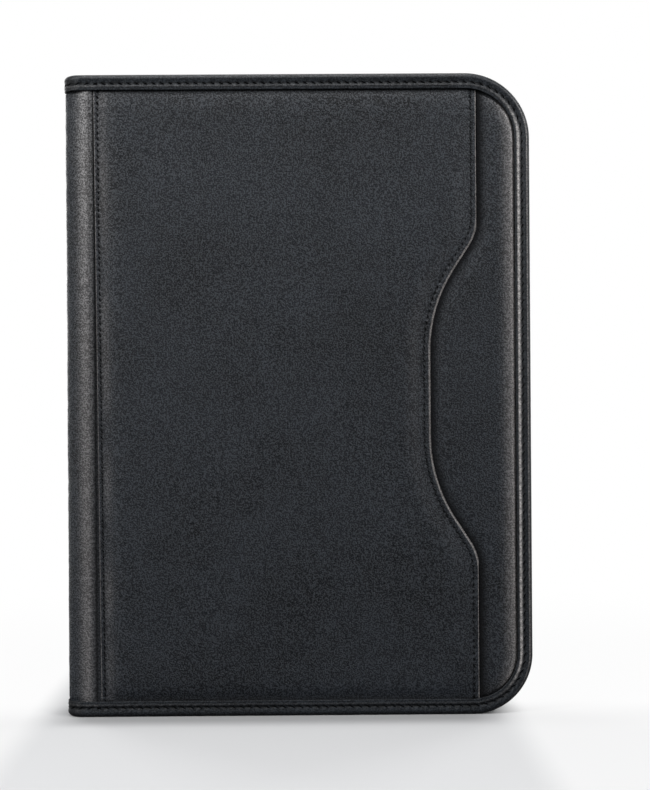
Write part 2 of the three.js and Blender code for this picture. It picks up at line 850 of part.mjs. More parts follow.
function padHeadTape() {
  const top = padFoot + padHeight;
  const filler = new THREE.Shape();
  filler.moveTo(sheetsFace - headTape, top - headTapeHeight);
  filler.lineTo(sheetsFace, top - headTapeHeight);
  filler.lineTo(sheetsFace, top);
  filler.lineTo(sheetsTop, top);
  filler.lineTo(sheetsTop, top - headTapeHeight + 4);
  filler.lineTo(backboardTop - backboardThickness, top - headTapeHeight + 4);
  filler.lineTo(backboardTop - backboardThickness, top);
  filler.lineTo(backboardTop, top);
  filler.lineTo(backboardTop, top + headTape);
  filler.lineTo(sheetsFace - headTape, top + headTape);
  filler.closePath();
  const band = new THREE.ExtrudeGeometry(filler, { depth: 1, steps: 1, bevelEnabled: false });
  return placed(band, (h, z, t) => [t > 0.5 ? padLeft + padWidth : padLeft, h, z]);
}

const documentPlateTop = front.inner - documentRoom;
const documentFace = documentPlateTop - documentLeather;

function cardPocket(row) {
  const high = documentFace - row * cardLeather;
  const mouth = cardPocketFoot + cardPocketFirst + (cardPockets.length - 1 - row) * cardPocketStep;
  const right = cardPocketLeft + cardPocketWidth;
  const middle = cardPocketLeft + cardPocketWidth / 2;
  const quarter = cardPocketWidth / 4;
  const shape = new THREE.Shape();
  shape.moveTo(cardPocketLeft, cardPocketFoot);
  shape.lineTo(right, cardPocketFoot);
  shape.lineTo(right, mouth);
  shape.lineTo(middle + quarter, mouth);
  shape.quadraticCurveTo(middle, mouth - 2 * cardScoop, middle - quarter, mouth);
  shape.lineTo(cardPocketLeft, mouth);
  shape.closePath();
  return sheet(shape, -1, high - cardLeather, high, 6);
}

const cardPockets = ['card_pocket_back', 'card_pocket_middle', 'card_pocket_front'];

function windowFrame() {
  const high = documentFace - windowFilm;
  const right = windowLeft + windowWidth;
  const top = windowFoot + windowHeight;
  const shape = roundedRectangle(windowLeft, right, windowFoot, top, windowRound);
  const b = windowBorder;
  shape.holes.push(roundedRectangle(windowLeft + b, right - b, windowFoot + b, top - b,
    windowRound / 2, THREE.Path));
  return sheet(shape, -1, high - cardLeather, high, 3);
}

function windowPane() {
  const b = windowBorder / 2;
  const shape = roundedRectangle(windowLeft + b, windowLeft + windowWidth - b, windowFoot + b,
    windowFoot + windowHeight - b, 1);
  return sheet(shape, -1, documentFace - windowFilm, documentFace, 1);
}

function penLoop() {
  const high = front.inner;
  const low = high - penLoopRise;
  const wall = penLoopWall;
  const right = penLoopLeft + penLoopWidth;
  const shape = roundedRectangle(penLoopLeft, right, low, high, penLoopRound);
  shape.holes.push(roundedRectangle(penLoopLeft + wall, right - wall, low + wall, high - wall,
    penLoopRound - wall, THREE.Path));
  return upright(shape, -1, penLoopFoot, penLoopFoot + penLoopLength, 4);
}

// Scene graph

function piece(name, geometry, look) {
  const mesh = new THREE.Mesh(geometry, new THREE.MeshStandardMaterial(look));
  mesh.name = name;
  return mesh;
}

function frontCover() {
  const group = new THREE.Group();
  const boardLeft = spineCornerRadius + 4;
  const boardOutline = coverOutline(boardLeft, panelInset);
  group.add(
    piece('front_pocket_panel', pocketPanel(), leatherLook),
    piece('front_base_panel', basePanel(), leatherLook),
    piece('front_foam', sheet(boardOutline, -1, front.boardTop, front.foamTop), foamLook),
    piece('front_board', sheet(boardOutline, -1, front.liningTop, front.boardTop), boardLook),
    piece('front_lining', lining(front, -1), liningLook),
    piece('front_spine_strip', spineStrip(-1, pocketInner - 0.1), leatherLook),
    piece('front_binding', coverBinding(front, -1), bindingLook),
    piece('front_zipper_tape', zipTape(front, -1), tapeLook),
    piece('front_zipper_teeth', toothChain(-1, sliderStart + sliderLength + pullSwingClear,
      chainLength - stopInset - stopLength - looseGap, 0), toothLook),
    piece('front_zipper_end_stop', zipStop(-1, false), metalLook),
    piece('document_pocket', sewnPocket(organizerLeft, front, -1, documentPlateTop, documentFace,
      documentMouthLow, documentMouthHigh), liningLook),
  );
  cardPockets.forEach((name, row) => group.add(piece(name, cardPocket(row), leatherLook)));
  group.add(
    piece('id_window_pane', windowPane(), filmLook),
    piece('id_window_frame', windowFrame(), leatherLook),
    piece('pen_loop', penLoop(), tapeLook),
  );
  return group;
}

function spine() {
  const group = new THREE.Group();
  const half = spineBoardWidth / 2;
  const low = panelInset;
  const high = caseHeight - panelInset;
  const liningHalf = cornerHeight + spineCornerRadius - spineReturnFace - looseGap - 0.2;
  group.add(
    piece('spine_panel', spinePanel(), leatherLook),
    piece('spine_board', block(spineBoardFace, spineLiningFace, -half, half, low, high), boardLook),
    piece('spine_lining', block(spineLiningFace, spineReturnFace, -liningHalf, liningHalf, low, high),
      liningLook),
    piece('spine_binding_top', spineBinding(true), bindingLook),
    piece('spine_binding_bottom', spineBinding(false), bindingLook),
  );
  return group;
}

function backCover() {
  const group = new THREE.Group();
  const boardLeft = spineCornerRadius + 4;
  const tail = back.leatherInner - 0.1;
  group.add(
    piece('back_panel', sheet(coverOutline(backSeamInset, panelInset), 1, back.leatherInner,
      faceHeight), leatherLook),
    piece('back_foam', sheet(coverOutline(tailEnd + edgeGap, panelInset), 1, back.boardTop,
      back.foamTop), foamLook),
    piece('back_board', sheet(coverOutline(boardLeft, panelInset), 1, back.liningTop,
      back.boardTop), boardLook),
    piece('back_lining', lining(back, 1), liningLook),
    piece('back_spine_strip', spineStrip(1, tail), leatherLook),
    piece('back_binding', coverBinding(back, 1), bindingLook),
    piece('back_zipper_tape', zipTape(back, 1), tapeLook),
    piece('back_zipper_teeth', toothChain(1, stopInset + stopLength + looseGap,
      chainLength - stopInset - stopLength - looseGap, 0.5), toothLook),
    piece('back_zipper_start_stop', zipStop(1, true), metalLook),
    piece('back_zipper_end_stop', zipStop(1, false), metalLook),
    piece('pad_pocket', padPocket(), leatherLook),
  );
  return group;
}

function writingPad() {
  const group = new THREE.Group();
  const top = padFoot + padHeight;
  group.add(
    piece('pad_backboard', padSheet(backboardTop - backboardThickness, backboardTop, top), boardLook),
    piece('pad_sheets', padSheet(sheetsFace, sheetsTop, top), paperLook),
    piece('pad_head_tape', padHeadTape(), bindingLook),
  );
  return group;
}

function slider() {
  const group = new THREE.Group();
  group.position.set(sliderCentre, 0, caseHeight - chainDepth);
  const pull = piece('zipper_pull', pullTab(), metalLook);
  pull.position.z = pullHeight;
  group.add(piece('zipper_slider', sliderBody(), metalLook), pull);
  return group;
}

const padfolio = new THREE.Group();
padfolio.position.x = -caseWidth / 2;
padfolio.add(frontCover(), spine(), backCover(), writingPad(), slider());

export default padfolio;
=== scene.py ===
"""Looks of the zip-around padfolio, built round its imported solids.

Lengths inside the classes are millimetres: u runs from the spine's outer face to the fore edge,
z up from the foot, and h outward from the middle plane. Meshes leave in metres, in the row's frame.
"""

import logging
import math
from dataclasses import dataclass, field
from enum import Enum
from typing import Any, Sequence

import bpy
import numpy as np
from mathutils import Matrix, Vector, geometry, noise


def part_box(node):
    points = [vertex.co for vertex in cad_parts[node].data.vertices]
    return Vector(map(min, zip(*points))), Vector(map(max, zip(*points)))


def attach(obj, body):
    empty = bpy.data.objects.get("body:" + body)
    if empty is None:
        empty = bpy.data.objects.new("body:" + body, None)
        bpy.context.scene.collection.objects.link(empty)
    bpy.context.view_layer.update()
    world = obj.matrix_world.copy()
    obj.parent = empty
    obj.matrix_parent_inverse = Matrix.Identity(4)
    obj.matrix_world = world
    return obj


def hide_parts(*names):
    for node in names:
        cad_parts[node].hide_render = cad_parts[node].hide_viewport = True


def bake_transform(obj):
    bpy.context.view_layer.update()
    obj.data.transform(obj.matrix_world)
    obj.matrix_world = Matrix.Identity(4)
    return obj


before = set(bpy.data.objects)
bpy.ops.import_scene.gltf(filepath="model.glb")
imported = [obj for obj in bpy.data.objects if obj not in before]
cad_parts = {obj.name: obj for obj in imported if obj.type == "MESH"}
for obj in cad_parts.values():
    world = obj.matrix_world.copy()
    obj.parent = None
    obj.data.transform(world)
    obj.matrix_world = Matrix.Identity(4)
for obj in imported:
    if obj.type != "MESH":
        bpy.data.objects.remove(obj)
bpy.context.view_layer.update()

MM = 0.001
SHARP = math.radians(55)
log = logging.getLogger("padfolio")

Array = np.ndarray


class Side(Enum):
    """The cover a piece belongs to; the value is the sign of y."""

    FRONT = -1
    BACK = 1

    @property
    def label(self) -> str:
        """The word that names of its pieces start with."""
        return self.name.lower()

    @property
    def cover(self) -> str:
        """Body of the cover."""
        return f"{self.label}_cover"


@dataclass(frozen=True)
class Case:
    """Sizes of the closed case that several pieces share, in millimetres."""

    width: float = 240.0
    height: float = 330.0
    half: float = 16.0
    upper_radius: float = 33.5
    lower_radius: float = 31.0
    spine_radius: float = 9.0
    inset: float = 1.0
    face: float = 15.3
    inner: float = 8.9
    return_height: float = 7.45
    wrap_end: float = 17.0

    @property
    def corner(self) -> float:
        """Height of the spine corner's axis above the middle plane."""
        return self.half - self.spine_radius


CASE = Case()
FACE_LIMIT = CASE.half - 0.05
UNDER_BINDING = 7.85
SEWN_FROM = 8.4
THREAD_LIFT = 0.06


def smooth(value: Array, low: float, high: float) -> Array:
    """Eased step from 0 at low to 1 at high.

    Args:
        value: Numbers to test.
        low: Where the step starts.
        high: Where the step ends.

    Returns:
        Weights between 0 and 1.
    """
    t = np.clip((np.asarray(value, float) - low) / (high - low), 0, 1)
    return t * t * (3 - 2 * t)


def bump(value: Array, centre: float, width: float) -> Array:
    """Bell curve of height 1 about a centre."""
    return np.exp(-(((np.asarray(value, float) - centre) / width) ** 2))


def rumple(u: Array, z: Array, scale: float, seed: float, stretch: float = 1.0) -> Array:
    """Smooth noise over a sheet, between about -1 and 1.

    Args:
        u: Places across the sheet in millimetres.
        z: Places up the sheet in millimetres.
        scale: Size of one swell in millimetres.
        seed: Offset that picks another part of the noise.
        stretch: How much longer a swell is upwards than across.

    Returns:
        One value for each place.
    """
    flat_u = np.ravel(np.asarray(u, float)) / scale
    flat_z = np.ravel(np.asarray(z, float)) / (scale * stretch)
    values = [noise.noise(Vector((a, b, seed))) for a, b in zip(flat_u, flat_z)]
    return np.array(values).reshape(np.shape(u))


class Value:
    """A number socket of a node tree that Python's operators work on."""

    def __init__(self, writer: "NodeWriter", socket: Any) -> None:
        """Keeps the writer that adds nodes and the socket to read."""
        self.writer = writer
        self.socket = socket

    def _math(self, operation: str, *others: Any) -> "Value":
        """Adds one Math node.

        Args:
            operation: What it works out.
            others: Numbers or values after this one.

        Returns:
            The result.
        """
        inputs = dict(enumerate((self, *others)))
        made = self.writer.add("ShaderNodeMath", {"operation": operation}, inputs)
        return Value(self.writer, made.outputs[0])

    def __add__(self, other: Any) -> "Value":
        """Sum."""
        return self._math("ADD", other)

    __radd__ = __add__

    def __mul__(self, other: Any) -> "Value":
        """Product."""
        return self._math("MULTIPLY", other)

    __rmul__ = __mul__

    def __sub__(self, other: Any) -> "Value":
        """Difference."""
        return self._math("SUBTRACT", other)

    def __rsub__(self, other: Any) -> "Value":
        """Difference from a number."""
        return (self * -1.0) + other

    def __truediv__(self, other: Any) -> "Value":
        """Quotient."""
        return self._math("DIVIDE", other)

    def __pow__(self, other: Any) -> "Value":
        """Power."""
        return self._math("POWER", other)

    def sine(self) -> "Value":
        """Sine of the value in radians."""
        return self._math("SINE")

    def fraction(self) -> "Value":
        """Part after the decimal point."""
        return self._math("FRACT")

    def larger(self, other: Any) -> "Value":
        """The larger of two values."""
        return self._math("MAXIMUM", other)

    def size(self) -> "Value":
        """Absolute value."""
        return self._math("ABSOLUTE")

    def above(self, limit: Any) -> "Value":
        """1 where the value is above the limit."""
        return self._math("GREATER_THAN", limit)

    def below(self, limit: Any) -> "Value":
        """1 where the value is below the limit."""
        return self._math("LESS_THAN", limit)

    def step(self, low: float, high: float) -> "Value":
        """Eased step from 0 to 1.

        Args:
            low: Where it starts.
            high: Where it ends.

        Returns:
            The step.
        """
        settings = {"interpolation_type": "SMOOTHSTEP"}
        inputs = {"Value": self, "From Min": low, "From Max": high}
        made = self.writer.add("ShaderNodeMapRange", settings, inputs)
        return Value(self.writer, made.outputs["Result"])


class NodeWriter:
    """Adds nodes to one tree."""

    def __init__(self, tree: bpy.types.NodeTree) -> None:
        """Keeps the tree, emptied."""
        self.tree = tree
        self.tree.nodes.clear()

    def add(self, kind: str, settings: dict | None = None, inputs: dict | None = None) -> Any:
        """Adds a node.

        Args:
            kind: Node type.
            settings: Properties to set first.
            inputs: Values or links by socket name or number.

        Returns:
            The node.
        """
        node = self.tree.nodes.new(kind)
        for key, value in (settings or {}).items():
            setattr(node, key, value)
        for key, value in (inputs or {}).items():
            socket = node.inputs[key]
            if isinstance(value, Value):
                self.tree.links.new(value.socket, socket)
            elif isinstance(value, bpy.types.NodeSocket):
                self.tree.links.new(value, socket)
            elif isinstance(value, tuple) and len(value) == 3 and socket.type == "RGBA":
                socket.default_value = (*value, 1.0)
            else:
                socket.default_value = value
        return node


class Painter(NodeWriter):
    """Writes the node tree of one material."""

    def __init__(self, name: str) -> None:
        """Starts an empty material.

        Args:
            name: Name of the material.
        """
        self.material = bpy.data.materials.new(name)
        self.material.use_nodes = True
        super().__init__(self.material.node_tree)

    def place(self, scale: float = 1 / MM, turn: float = 0.0) -> Any:
        """Object coordinates.

        Args:
            scale: Units for each metre, millimetres if it isn't given.
            turn: Turn about the y axis in radians.

        Returns:
            The vector socket.
        """
        made = self.add("ShaderNodeTexCoord")
        inputs = {
            "Vector": made.outputs["Object"],
            "Scale": (scale, scale, scale),
            "Rotation": (0.0, turn, 0.0),
        }
        return self.add("ShaderNodeMapping", {}, inputs).outputs[0]

    def axes(self, vector: Any) -> tuple[Value, Value, Value]:
        """The three numbers of a vector socket."""
        made = self.add("ShaderNodeSeparateXYZ", {}, {0: vector})
        return tuple(Value(self, made.outputs[i]) for i in range(3))

    def noise(self, vector: Any, scale: float, detail: float) -> Value:
        """Noise between 0 and 1.

        Args:
            vector: Places to read it at.
            scale: Swells for each unit of the vector.
            detail: Octaves.

        Returns:
            The noise.
        """
        inputs = {"Vector": vector, "Scale": scale, "Detail": detail}
        made = self.add("ShaderNodeTexNoise", {}, inputs)
        return Value(self, made.outputs[0])

    def cells(self, vector: Any, scale: float) -> Value:
        """Distance from the edges of scattered cells.

        Args:
            vector: Places to read it at.
            scale: Cells for each unit of the vector.

        Returns:
            The distance.
        """
        inputs = {"Vector": vector, "Scale": scale}
        made = self.add("ShaderNodeTexVoronoi", {"feature": "DISTANCE_TO_EDGE"}, inputs)
        return Value(self, made.outputs["Distance"])

    def warped(self, vector: Any, scale: float, reach: float) -> Any:
        """Shifts a vector by coloured noise, so that a pattern isn't regular.

        Args:
            vector: Places to shift.
            scale: Swells for each unit of the vector.
            reach: Longest shift.

        Returns:
            The shifted vector.
        """
        inputs = {"Vector": vector, "Scale": scale, "Detail": 2.0}
        shift = self.add("ShaderNodeTexNoise", {}, inputs).outputs["Color"]
        sized = self.add(
            "ShaderNodeVectorMath", {"operation": "SCALE"}, {0: shift, "Scale": reach}
        ).outputs[0]
        made = self.add("ShaderNodeVectorMath", {"operation": "ADD"}, {0: vector, 1: sized})
        return made.outputs[0]

    def attribute(self, name: str) -> Value:
        """A number stored on the mesh's points."""
        made = self.add("ShaderNodeAttribute", {"attribute_name": name})
        return Value(self, made.outputs["Fac"])

    def mix(self, factor: Any, low: Any, high: Any) -> Any:
        """Blends two colours.

        Args:
            factor: 0 for the first, 1 for the second.
            low: First colour.
            high: Second colour.

        Returns:
            The colour socket.
        """
        settings = {"data_type": "RGBA"}
        made = self.add("ShaderNodeMix", settings, {0: factor, 6: low, 7: high})
        return made.outputs[2]

    def relief(self, height: Value, depth: float, strength: float = 1.0) -> Any:
        """A normal from a height of 0 to 1 that stands for depth in millimetres."""
        inputs = {"Strength": strength, "Distance": depth * MM, "Height": height}
        return self.add("ShaderNodeBump", {}, inputs).outputs[0]

    def surface(self, settings: dict, **linked: Any) -> bpy.types.Material:
        """Ends the tree in a Principled shader.

        Args:
            settings: Socket values by socket name.
            linked: Values or links, with underscores for spaces in socket names.

        Returns:
            The finished material.
        """
        inputs = {**settings, **{k.replace("_", " "): v for k, v in linked.items()}}
        shader = self.add("ShaderNodeBsdfPrincipled", {}, inputs)
        self.add("ShaderNodeOutputMaterial", {}, {0: shader.outputs[0]})
        return self.material


@dataclass(frozen=True)
class Leather:
    """Grained, dyed leather.

    One point attribute of a mesh paints shade into it in stitch holes, folds and grooves, and
    another paints highlights into it, partly as rubbing, along folded edges and ridges.
    """

    name: str
    slot: str
    dark: tuple[float, float, float] = (0.0002, 0.0004, 0.0010)
    light: tuple[float, float, float] = (0.0320, 0.0385, 0.0490)
    rubbed: tuple[float, float, float] = (0.430, 0.403, 0.392)
    grain: float = 1.2
    grain_depth: float = 0.70
    roughness: float = 0.36
    gloss: float = 0.22
    wax: float = 1.0

    def material(self) -> bpy.types.Material:
        """Builds the material.

        Returns:
            The material.
        """
        p = Painter(self.name)
        place = p.place()
        loose = p.warped(place, 0.5, 1.3)
        pebble = p.cells(loose, 1 / self.grain).step(0.0, 0.34)
        fine = p.noise(place, 1.25, 1.0)
        speck = p.noise(place, 2.7, 1.0)
        broad = p.noise(place, 0.022, 4.0)
        patch = p.noise(place, 0.17, 3.0)
        height = pebble * 0.18 + fine * 0.62 + speck * 0.20
        high = fine.step(0.46, 0.58) * 0.66 + speck.step(0.45, 0.58) * 0.34
        tone = broad.step(0.32, 0.68) * 0.18 + patch.step(0.3, 0.72) * 0.12 + high * 0.74
        plain = p.mix(tone, self.dark, self.light)
        # Painted highlight, partly rubbing: the second mark lightens the grain towards a pale
        # colour.
        worn = p.attribute("worn") * (0.45 + high * 0.85)
        # Painted shade: the first mark darkens the colour to near black in holes, folds and
        # grooves.
        painted_shade = p.attribute("crease")
        colour = p.mix(painted_shade * 0.93, p.mix(worn, plain, self.rubbed), (0.001, 0.001, 0.0015))
        rough = self.roughness + (1 - pebble) * 0.10 + (patch - 0.5) * 0.22 + painted_shade * 0.4
        return p.surface(
            {
                "Specular IOR Level": self.gloss,
                "IOR": 1.46,
                "Coat Roughness": 0.44,
                "Coat IOR": 1.62,
            },
            Base_Color=colour,
            Roughness=rough - p.attribute("worn") * 0.12,
            Coat_Weight=(high * 0.96 + 0.04) * (1 - painted_shade) * self.wax,
            Normal=p.relief(height, self.grain_depth, 0.9),
        )


@dataclass(frozen=True)
class Woven:
    """Plain woven cloth, tape or elastic."""

    name: str
    slot: str
    colour: tuple[float, float, float] = (0.020, 0.021, 0.024)
    lit: tuple[float, float, float] = (0.050, 0.052, 0.058)
    thread: float = 0.55
    turn: float = 0.0
    depth: float = 0.12
    sheen: float = 0.25

    def material(self) -> bpy.types.Material:
        """Builds the material.

        Returns:
            The material.
        """
        p = Painter(self.name)
        x, y, z = p.axes(p.place(turn=self.turn))
        turns = 2 * math.pi / self.thread
        across = (x + y) * turns
        upward = z * turns
        over = across.sine() * upward.sine()
        ribs = (across * 2.0).sine().size() * 0.5 + (upward * 2.0).sine().size() * 0.5
        height = over * 0.35 + ribs * 0.3 + 0.35
        speck = p.noise(p.place(), 1.6, 3.0)
        colour = p.mix(height * 0.6 + speck * 0.4, self.colour, self.lit)
        return p.surface(
            {"Sheen Weight": self.sheen, "Sheen Roughness": 0.5, "Specular IOR Level": 0.25},
            Base_Color=colour,
            Roughness=0.82 + speck * 0.14,
            Normal=p.relief(height, self.depth, 0.9),
        )


@dataclass(frozen=True)
class Thread:
    """Bonded sewing thread with its twist."""

    name: str
    slot: str
    colour: tuple[float, float, float] = (0.0003, 0.0004, 0.0006)
    lit: tuple[float, float, float] = (0.0020, 0.0022, 0.0028)

    def material(self) -> bpy.types.Material:
        """Builds the material.

        Returns:
            The material.
        """
        p = Painter(self.name)
        x, y, z = p.axes(p.place())
        ply = ((x + z) * 14.0 + y * 9.0).sine() * 0.5 + 0.5
        fuzz = p.noise(p.place(), 6.0, 2.0)
        return p.surface(
            {"Specular IOR Level": 0.05},
            Base_Color=p.mix(ply * 0.6 + fuzz * 0.4, self.colour, self.lit),
            Roughness=0.55 + fuzz * 0.2,
            Normal=p.relief(ply, 0.08),
        )


@dataclass(frozen=True)
class PlatedMetal:
    """Dark plated metal with fine brush marks and bright worn edges."""

    name: str
    slot: str
    colour: tuple[float, float, float] = (0.14, 0.145, 0.155)
    lit: tuple[float, float, float] = (0.32, 0.325, 0.335)

    def material(self) -> bpy.types.Material:
        """Builds the material.

        Returns:
            The material.
        """
        p = Painter(self.name)
        x, y, z = p.axes(p.place())
        drawn_out = {0: x * 0.6, 1: y * 9.0, 2: z * 9.0}
        brushed = p.add("ShaderNodeCombineXYZ", {}, drawn_out).outputs[0]
        streak = p.noise(brushed, 1.0, 3.0)
        cloud = p.noise(p.place(), 0.5, 3.0)
        return p.surface(
            {"Metallic": 1.0},
            Base_Color=p.mix(streak * 0.5 + cloud * 0.5, self.colour, self.lit),
            Roughness=0.24 + streak * 0.16 + cloud * 0.08,
            Normal=p.relief(streak, 0.02),
        )


@dataclass(frozen=True)
class Moulded:
    """Moulded plastic or board with a fine uneven skin."""

    name: str
    slot: str
    colour: tuple[float, float, float] = (0.018, 0.018, 0.020)
    lit: tuple[float, float, float] = (0.030, 0.030, 0.034)
    roughness: float = 0.36
    scale: float = 1.4
    depth: float = 0.03

    def material(self) -> bpy.types.Material:
        """Builds the material.

        Returns:
            The material.
        """
        p = Painter(self.name)
        place = p.place()
        fleck = p.noise(place, self.scale, 4.0)
        cloud = p.noise(place, 0.06, 3.0)
        return p.surface(
            {"Specular IOR Level": 0.45},
            Base_Color=p.mix(fleck * 0.6 + cloud * 0.4, self.colour, self.lit),
            Roughness=self.roughness + (fleck - 0.5) * 0.2,
            Normal=p.relief(fleck, self.depth),
        )


@dataclass(frozen=True)
class RuledPaper:
    """A block of ruled writing paper: lines on its face, leaves on its edges."""

    name: str
    slot: str
    face: float = 0.96
    ruling: float = 7.1
    head: float = 272.0
    foot: float = 34.0
    margin: float = -75.0

    def material(self) -> bpy.types.Material:
        """Builds the material.

        Returns:
            The material.
        """
        p = Painter(self.name)
        x, y, z = p.axes(p.place())
        on_face = y.below(self.face)
        row = (z / self.ruling).fraction()
        inside = z.above(self.foot) * z.below(self.head)
        line = row.below(0.055) * inside * on_face
        edge = (x - self.margin).size().below(0.28) * on_face
        leaf = (y * 8.0).fraction().below(0.35) * (1 - on_face)
        fibre = p.noise(p.place(), 0.9, 4.0)
        paper = p.mix(fibre, (0.80, 0.785, 0.735), (0.86, 0.85, 0.81))
        leaves = p.mix(leaf * 0.5, paper, (0.45, 0.44, 0.41))
        ruled = p.mix(line * 0.75, leaves, (0.33, 0.43, 0.60))
        return p.surface(
            {"Specular IOR Level": 0.25},
            Base_Color=p.mix(edge * 0.8, ruled, (0.62, 0.26, 0.27)),
            Roughness=0.78 + fibre * 0.15,
            Normal=p.relief(fibre * 0.5 + leaf * 0.5, 0.03),
        )


@dataclass(frozen=True)
class ClearFilm:
    """Clear, slightly wavy vinyl film."""

    name: str
    slot: str

    def material(self) -> bpy.types.Material:
        """Builds the material.

        Returns:
            The material.
        """
        p = Painter(self.name)
        wave = p.noise(p.place(), 0.08, 2.0)
        return p.surface(
            {"Specular IOR Level": 0.5, "IOR": 1.45},
            Base_Color=p.mix(wave, (0.80, 0.83, 0.85), (0.88, 0.90, 0.91)),
            Roughness=0.10 + wave * 0.08,
            Alpha=0.09 + wave * 0.06,
            Normal=p.relief(wave, 0.05),
        )


class Finish(Enum):
    """Every finish on the padfolio."""

    COVER = Leather("cover_leather", "cover_leather")
    BINDING = Leather(
        "binding_leather",
        "binding_leather",
        dark=(0.0006, 0.0009, 0.0016),
        light=(0.0170, 0.0225, 0.0300),
        rubbed=(0.660, 0.625, 0.608),
        grain=1.0,
        grain_depth=0.32,
        roughness=0.33,
        gloss=0.38,
        wax=0.5,
    )
    POCKET = Leather(
        "pocket_leather", "pocket_leather", grain=0.8, grain_depth=0.10, roughness=0.42
    )
    LINING = Woven("lining_fabric", "lining_fabric")
    TAPE = Woven("zipper_tape", "zipper_tape", thread=0.8, turn=math.pi / 4, sheen=0.1)
    ELASTIC = Woven("elastic_band", "elastic_band", thread=0.9, depth=0.2)
    CLOTH = Woven("head_tape_cloth", "head_tape_cloth", colour=(0.022, 0.024, 0.03), thread=0.45)
    STITCH = Thread("sewing_thread", "cover_leather")
    METAL = PlatedMetal("zipper_metal", "zipper_metal")
    TEETH = Moulded("zipper_teeth", "zipper_teeth")
    FOAM = Moulded(
        "padding_foam", "padding_foam", (0.30, 0.30, 0.28), (0.42, 0.42, 0.40), 0.9, 2.2, 0.3
    )
    BOARD = Moulded(
        "stiffener_board", "stiffener_board", (0.20, 0.15, 0.10), (0.32, 0.25, 0.17), 0.85, 1.1, 0.1
    )
    CHIPBOARD = Moulded(
        "chipboard", "chipboard", (0.30, 0.26, 0.21), (0.42, 0.37, 0.30), 0.88, 1.6, 0.08
    )
    PAPER = RuledPaper("paper", "paper")
    FILM = ClearFilm("clear_film", "clear_film")

    def material(self) -> bpy.types.Material:
        """The finish's material, built once."""
        return PAINTED.get(self) or PAINTED.setdefault(self, self.value.material())

    def paint(self, piece: bpy.types.Object) -> None:
        """Gives a piece this finish alone.

        Args:
            piece: The piece.
        """
        piece.data.materials.clear()
        piece.data.materials.append(self.material())


PAINTED: dict[Finish, bpy.types.Material] = {}


def put_in_scene(name: str, data: Any) -> bpy.types.Object:
    """Makes an object of some data and links it.

    Args:
        name: Name of the object.
        data: Its mesh, lamp or camera.

    Returns:
        The object.
    """
    made = bpy.data.objects.new(name, data)
    bpy.context.scene.collection.objects.link(made)
    return made


def plain_mesh(piece: bpy.types.Object) -> bpy.types.Mesh:
    """Takes an object's modifiers into a plain mesh.

    Args:
        piece: The object, left without modifiers.

    Returns:
        The mesh.
    """
    bpy.context.view_layer.update()
    graph = bpy.context.evaluated_depsgraph_get()
    mesh = bpy.data.meshes.new_from_object(piece.evaluated_get(graph))
    piece.modifiers.clear()
    return mesh


def dress(piece: bpy.types.Object, finish: Finish, body: str, *nodes: str) -> None:
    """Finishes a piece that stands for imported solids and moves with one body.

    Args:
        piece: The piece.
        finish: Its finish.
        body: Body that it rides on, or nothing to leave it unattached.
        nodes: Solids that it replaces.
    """
    finish.paint(piece)
    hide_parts(*nodes)
    if body:
        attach(piece, body)
    log.info("%s: %d faces", piece.name, len(piece.data.polygons))


def to_frame(points: Array) -> Array:
    """Turns millimetres into the row's frame.

    Args:
        points: Places as (u, y, z) in millimetres.

    Returns:
        Places in metres.
    """
    moved = np.array(points, float)
    moved[:, 0] -= CASE.width / 2
    return moved * MM


def lifted(places: Array, heights: Any) -> Array:
    """Gives places (u, z) their y, one for all or one each."""
    return np.stack([places[:, 0], np.broadcast_to(heights, len(places)), places[:, 1]], 1)


def make_piece(
    name: str, points: Array, faces: Sequence[Sequence[int]], marks: dict[str, Array] | None = None
) -> bpy.types.Object:
    """Makes a smooth mesh object with its faces turned outwards.

    Args:
        name: Name of the piece.
        points: Corners as (u, y, z) in millimetres.
        faces: Corner numbers of each face.
        marks: Numbers for each corner, stored as attributes.

    Returns:
        The object, linked to the scene.
    """
    mesh = bpy.data.meshes.new(name)
    mesh.from_pydata(to_frame(points).tolist(), [], [list(f) for f in faces])
    for key, values in (marks or {}).items():
        layer = mesh.attributes.new(key, "FLOAT", "POINT")
        layer.data.foreach_set("value", np.asarray(values, np.float32))
    mesh.validate()
    piece = put_in_scene(name, mesh)
    turn_outward(mesh)
    mesh.shade_smooth()
    mesh.set_sharp_from_angle(angle=SHARP)
    return piece


def turn_outward(mesh: bpy.types.Mesh) -> None:
    """Turns the faces of a closed mesh outwards, by the sign of its volume.

    Args:
        mesh: The mesh.
    """
    mesh.calc_loop_triangles()
    corners = np.array([v.co for v in mesh.vertices], float)
    tris = np.array([t.vertices for t in mesh.loop_triangles], int)
    a, b, c = (corners[tris[:, i]] for i in range(3))
    if np.einsum("ij,ij->i", a, np.cross(b, c)).sum() < 0:
        mesh.flip_normals()


def loft(
    name: str,
    rows: Array,
    marks: dict[str, Array] | None = None,
    closed_rows: bool = False,
) -> bpy.types.Object:
    """Joins closed rings of points into a tube, with caps unless the rows close on themselves.

    Args:
        name: Name of the piece.
        rows: Rings, shaped (rings, points, 3), in millimetres.
        marks: Numbers shaped (rings, points), stored as attributes.
        closed_rows: Whether the last ring joins the first.

    Returns:
        The object.
    """
    count, ring, _ = rows.shape
    faces = []
    for i in range(count if closed_rows else count - 1):
        a, b = i * ring, ((i + 1) % count) * ring
        for j in range(ring):
            k = (j + 1) % ring
            faces.append((a + j, a + k, b + k, b + j))
    if not closed_rows:
        for start, flip in ((0, True), ((count - 1) * ring, False)):
            loop = [start + j for j in range(ring)]
            flat = [rows.reshape(-1, 3)[i] for i in loop]
            cap = geometry.tessellate_polygon([[Vector(p) for p in flat]])
            for tri in cap:
                picked = [loop[i] for i in tri]
                faces.append(tuple(reversed(picked)) if flip else tuple(picked))
    flat_marks = {k: v.reshape(-1) for k, v in (marks or {}).items()}
    return make_piece(name, rows.reshape(-1, 3), faces, flat_marks)


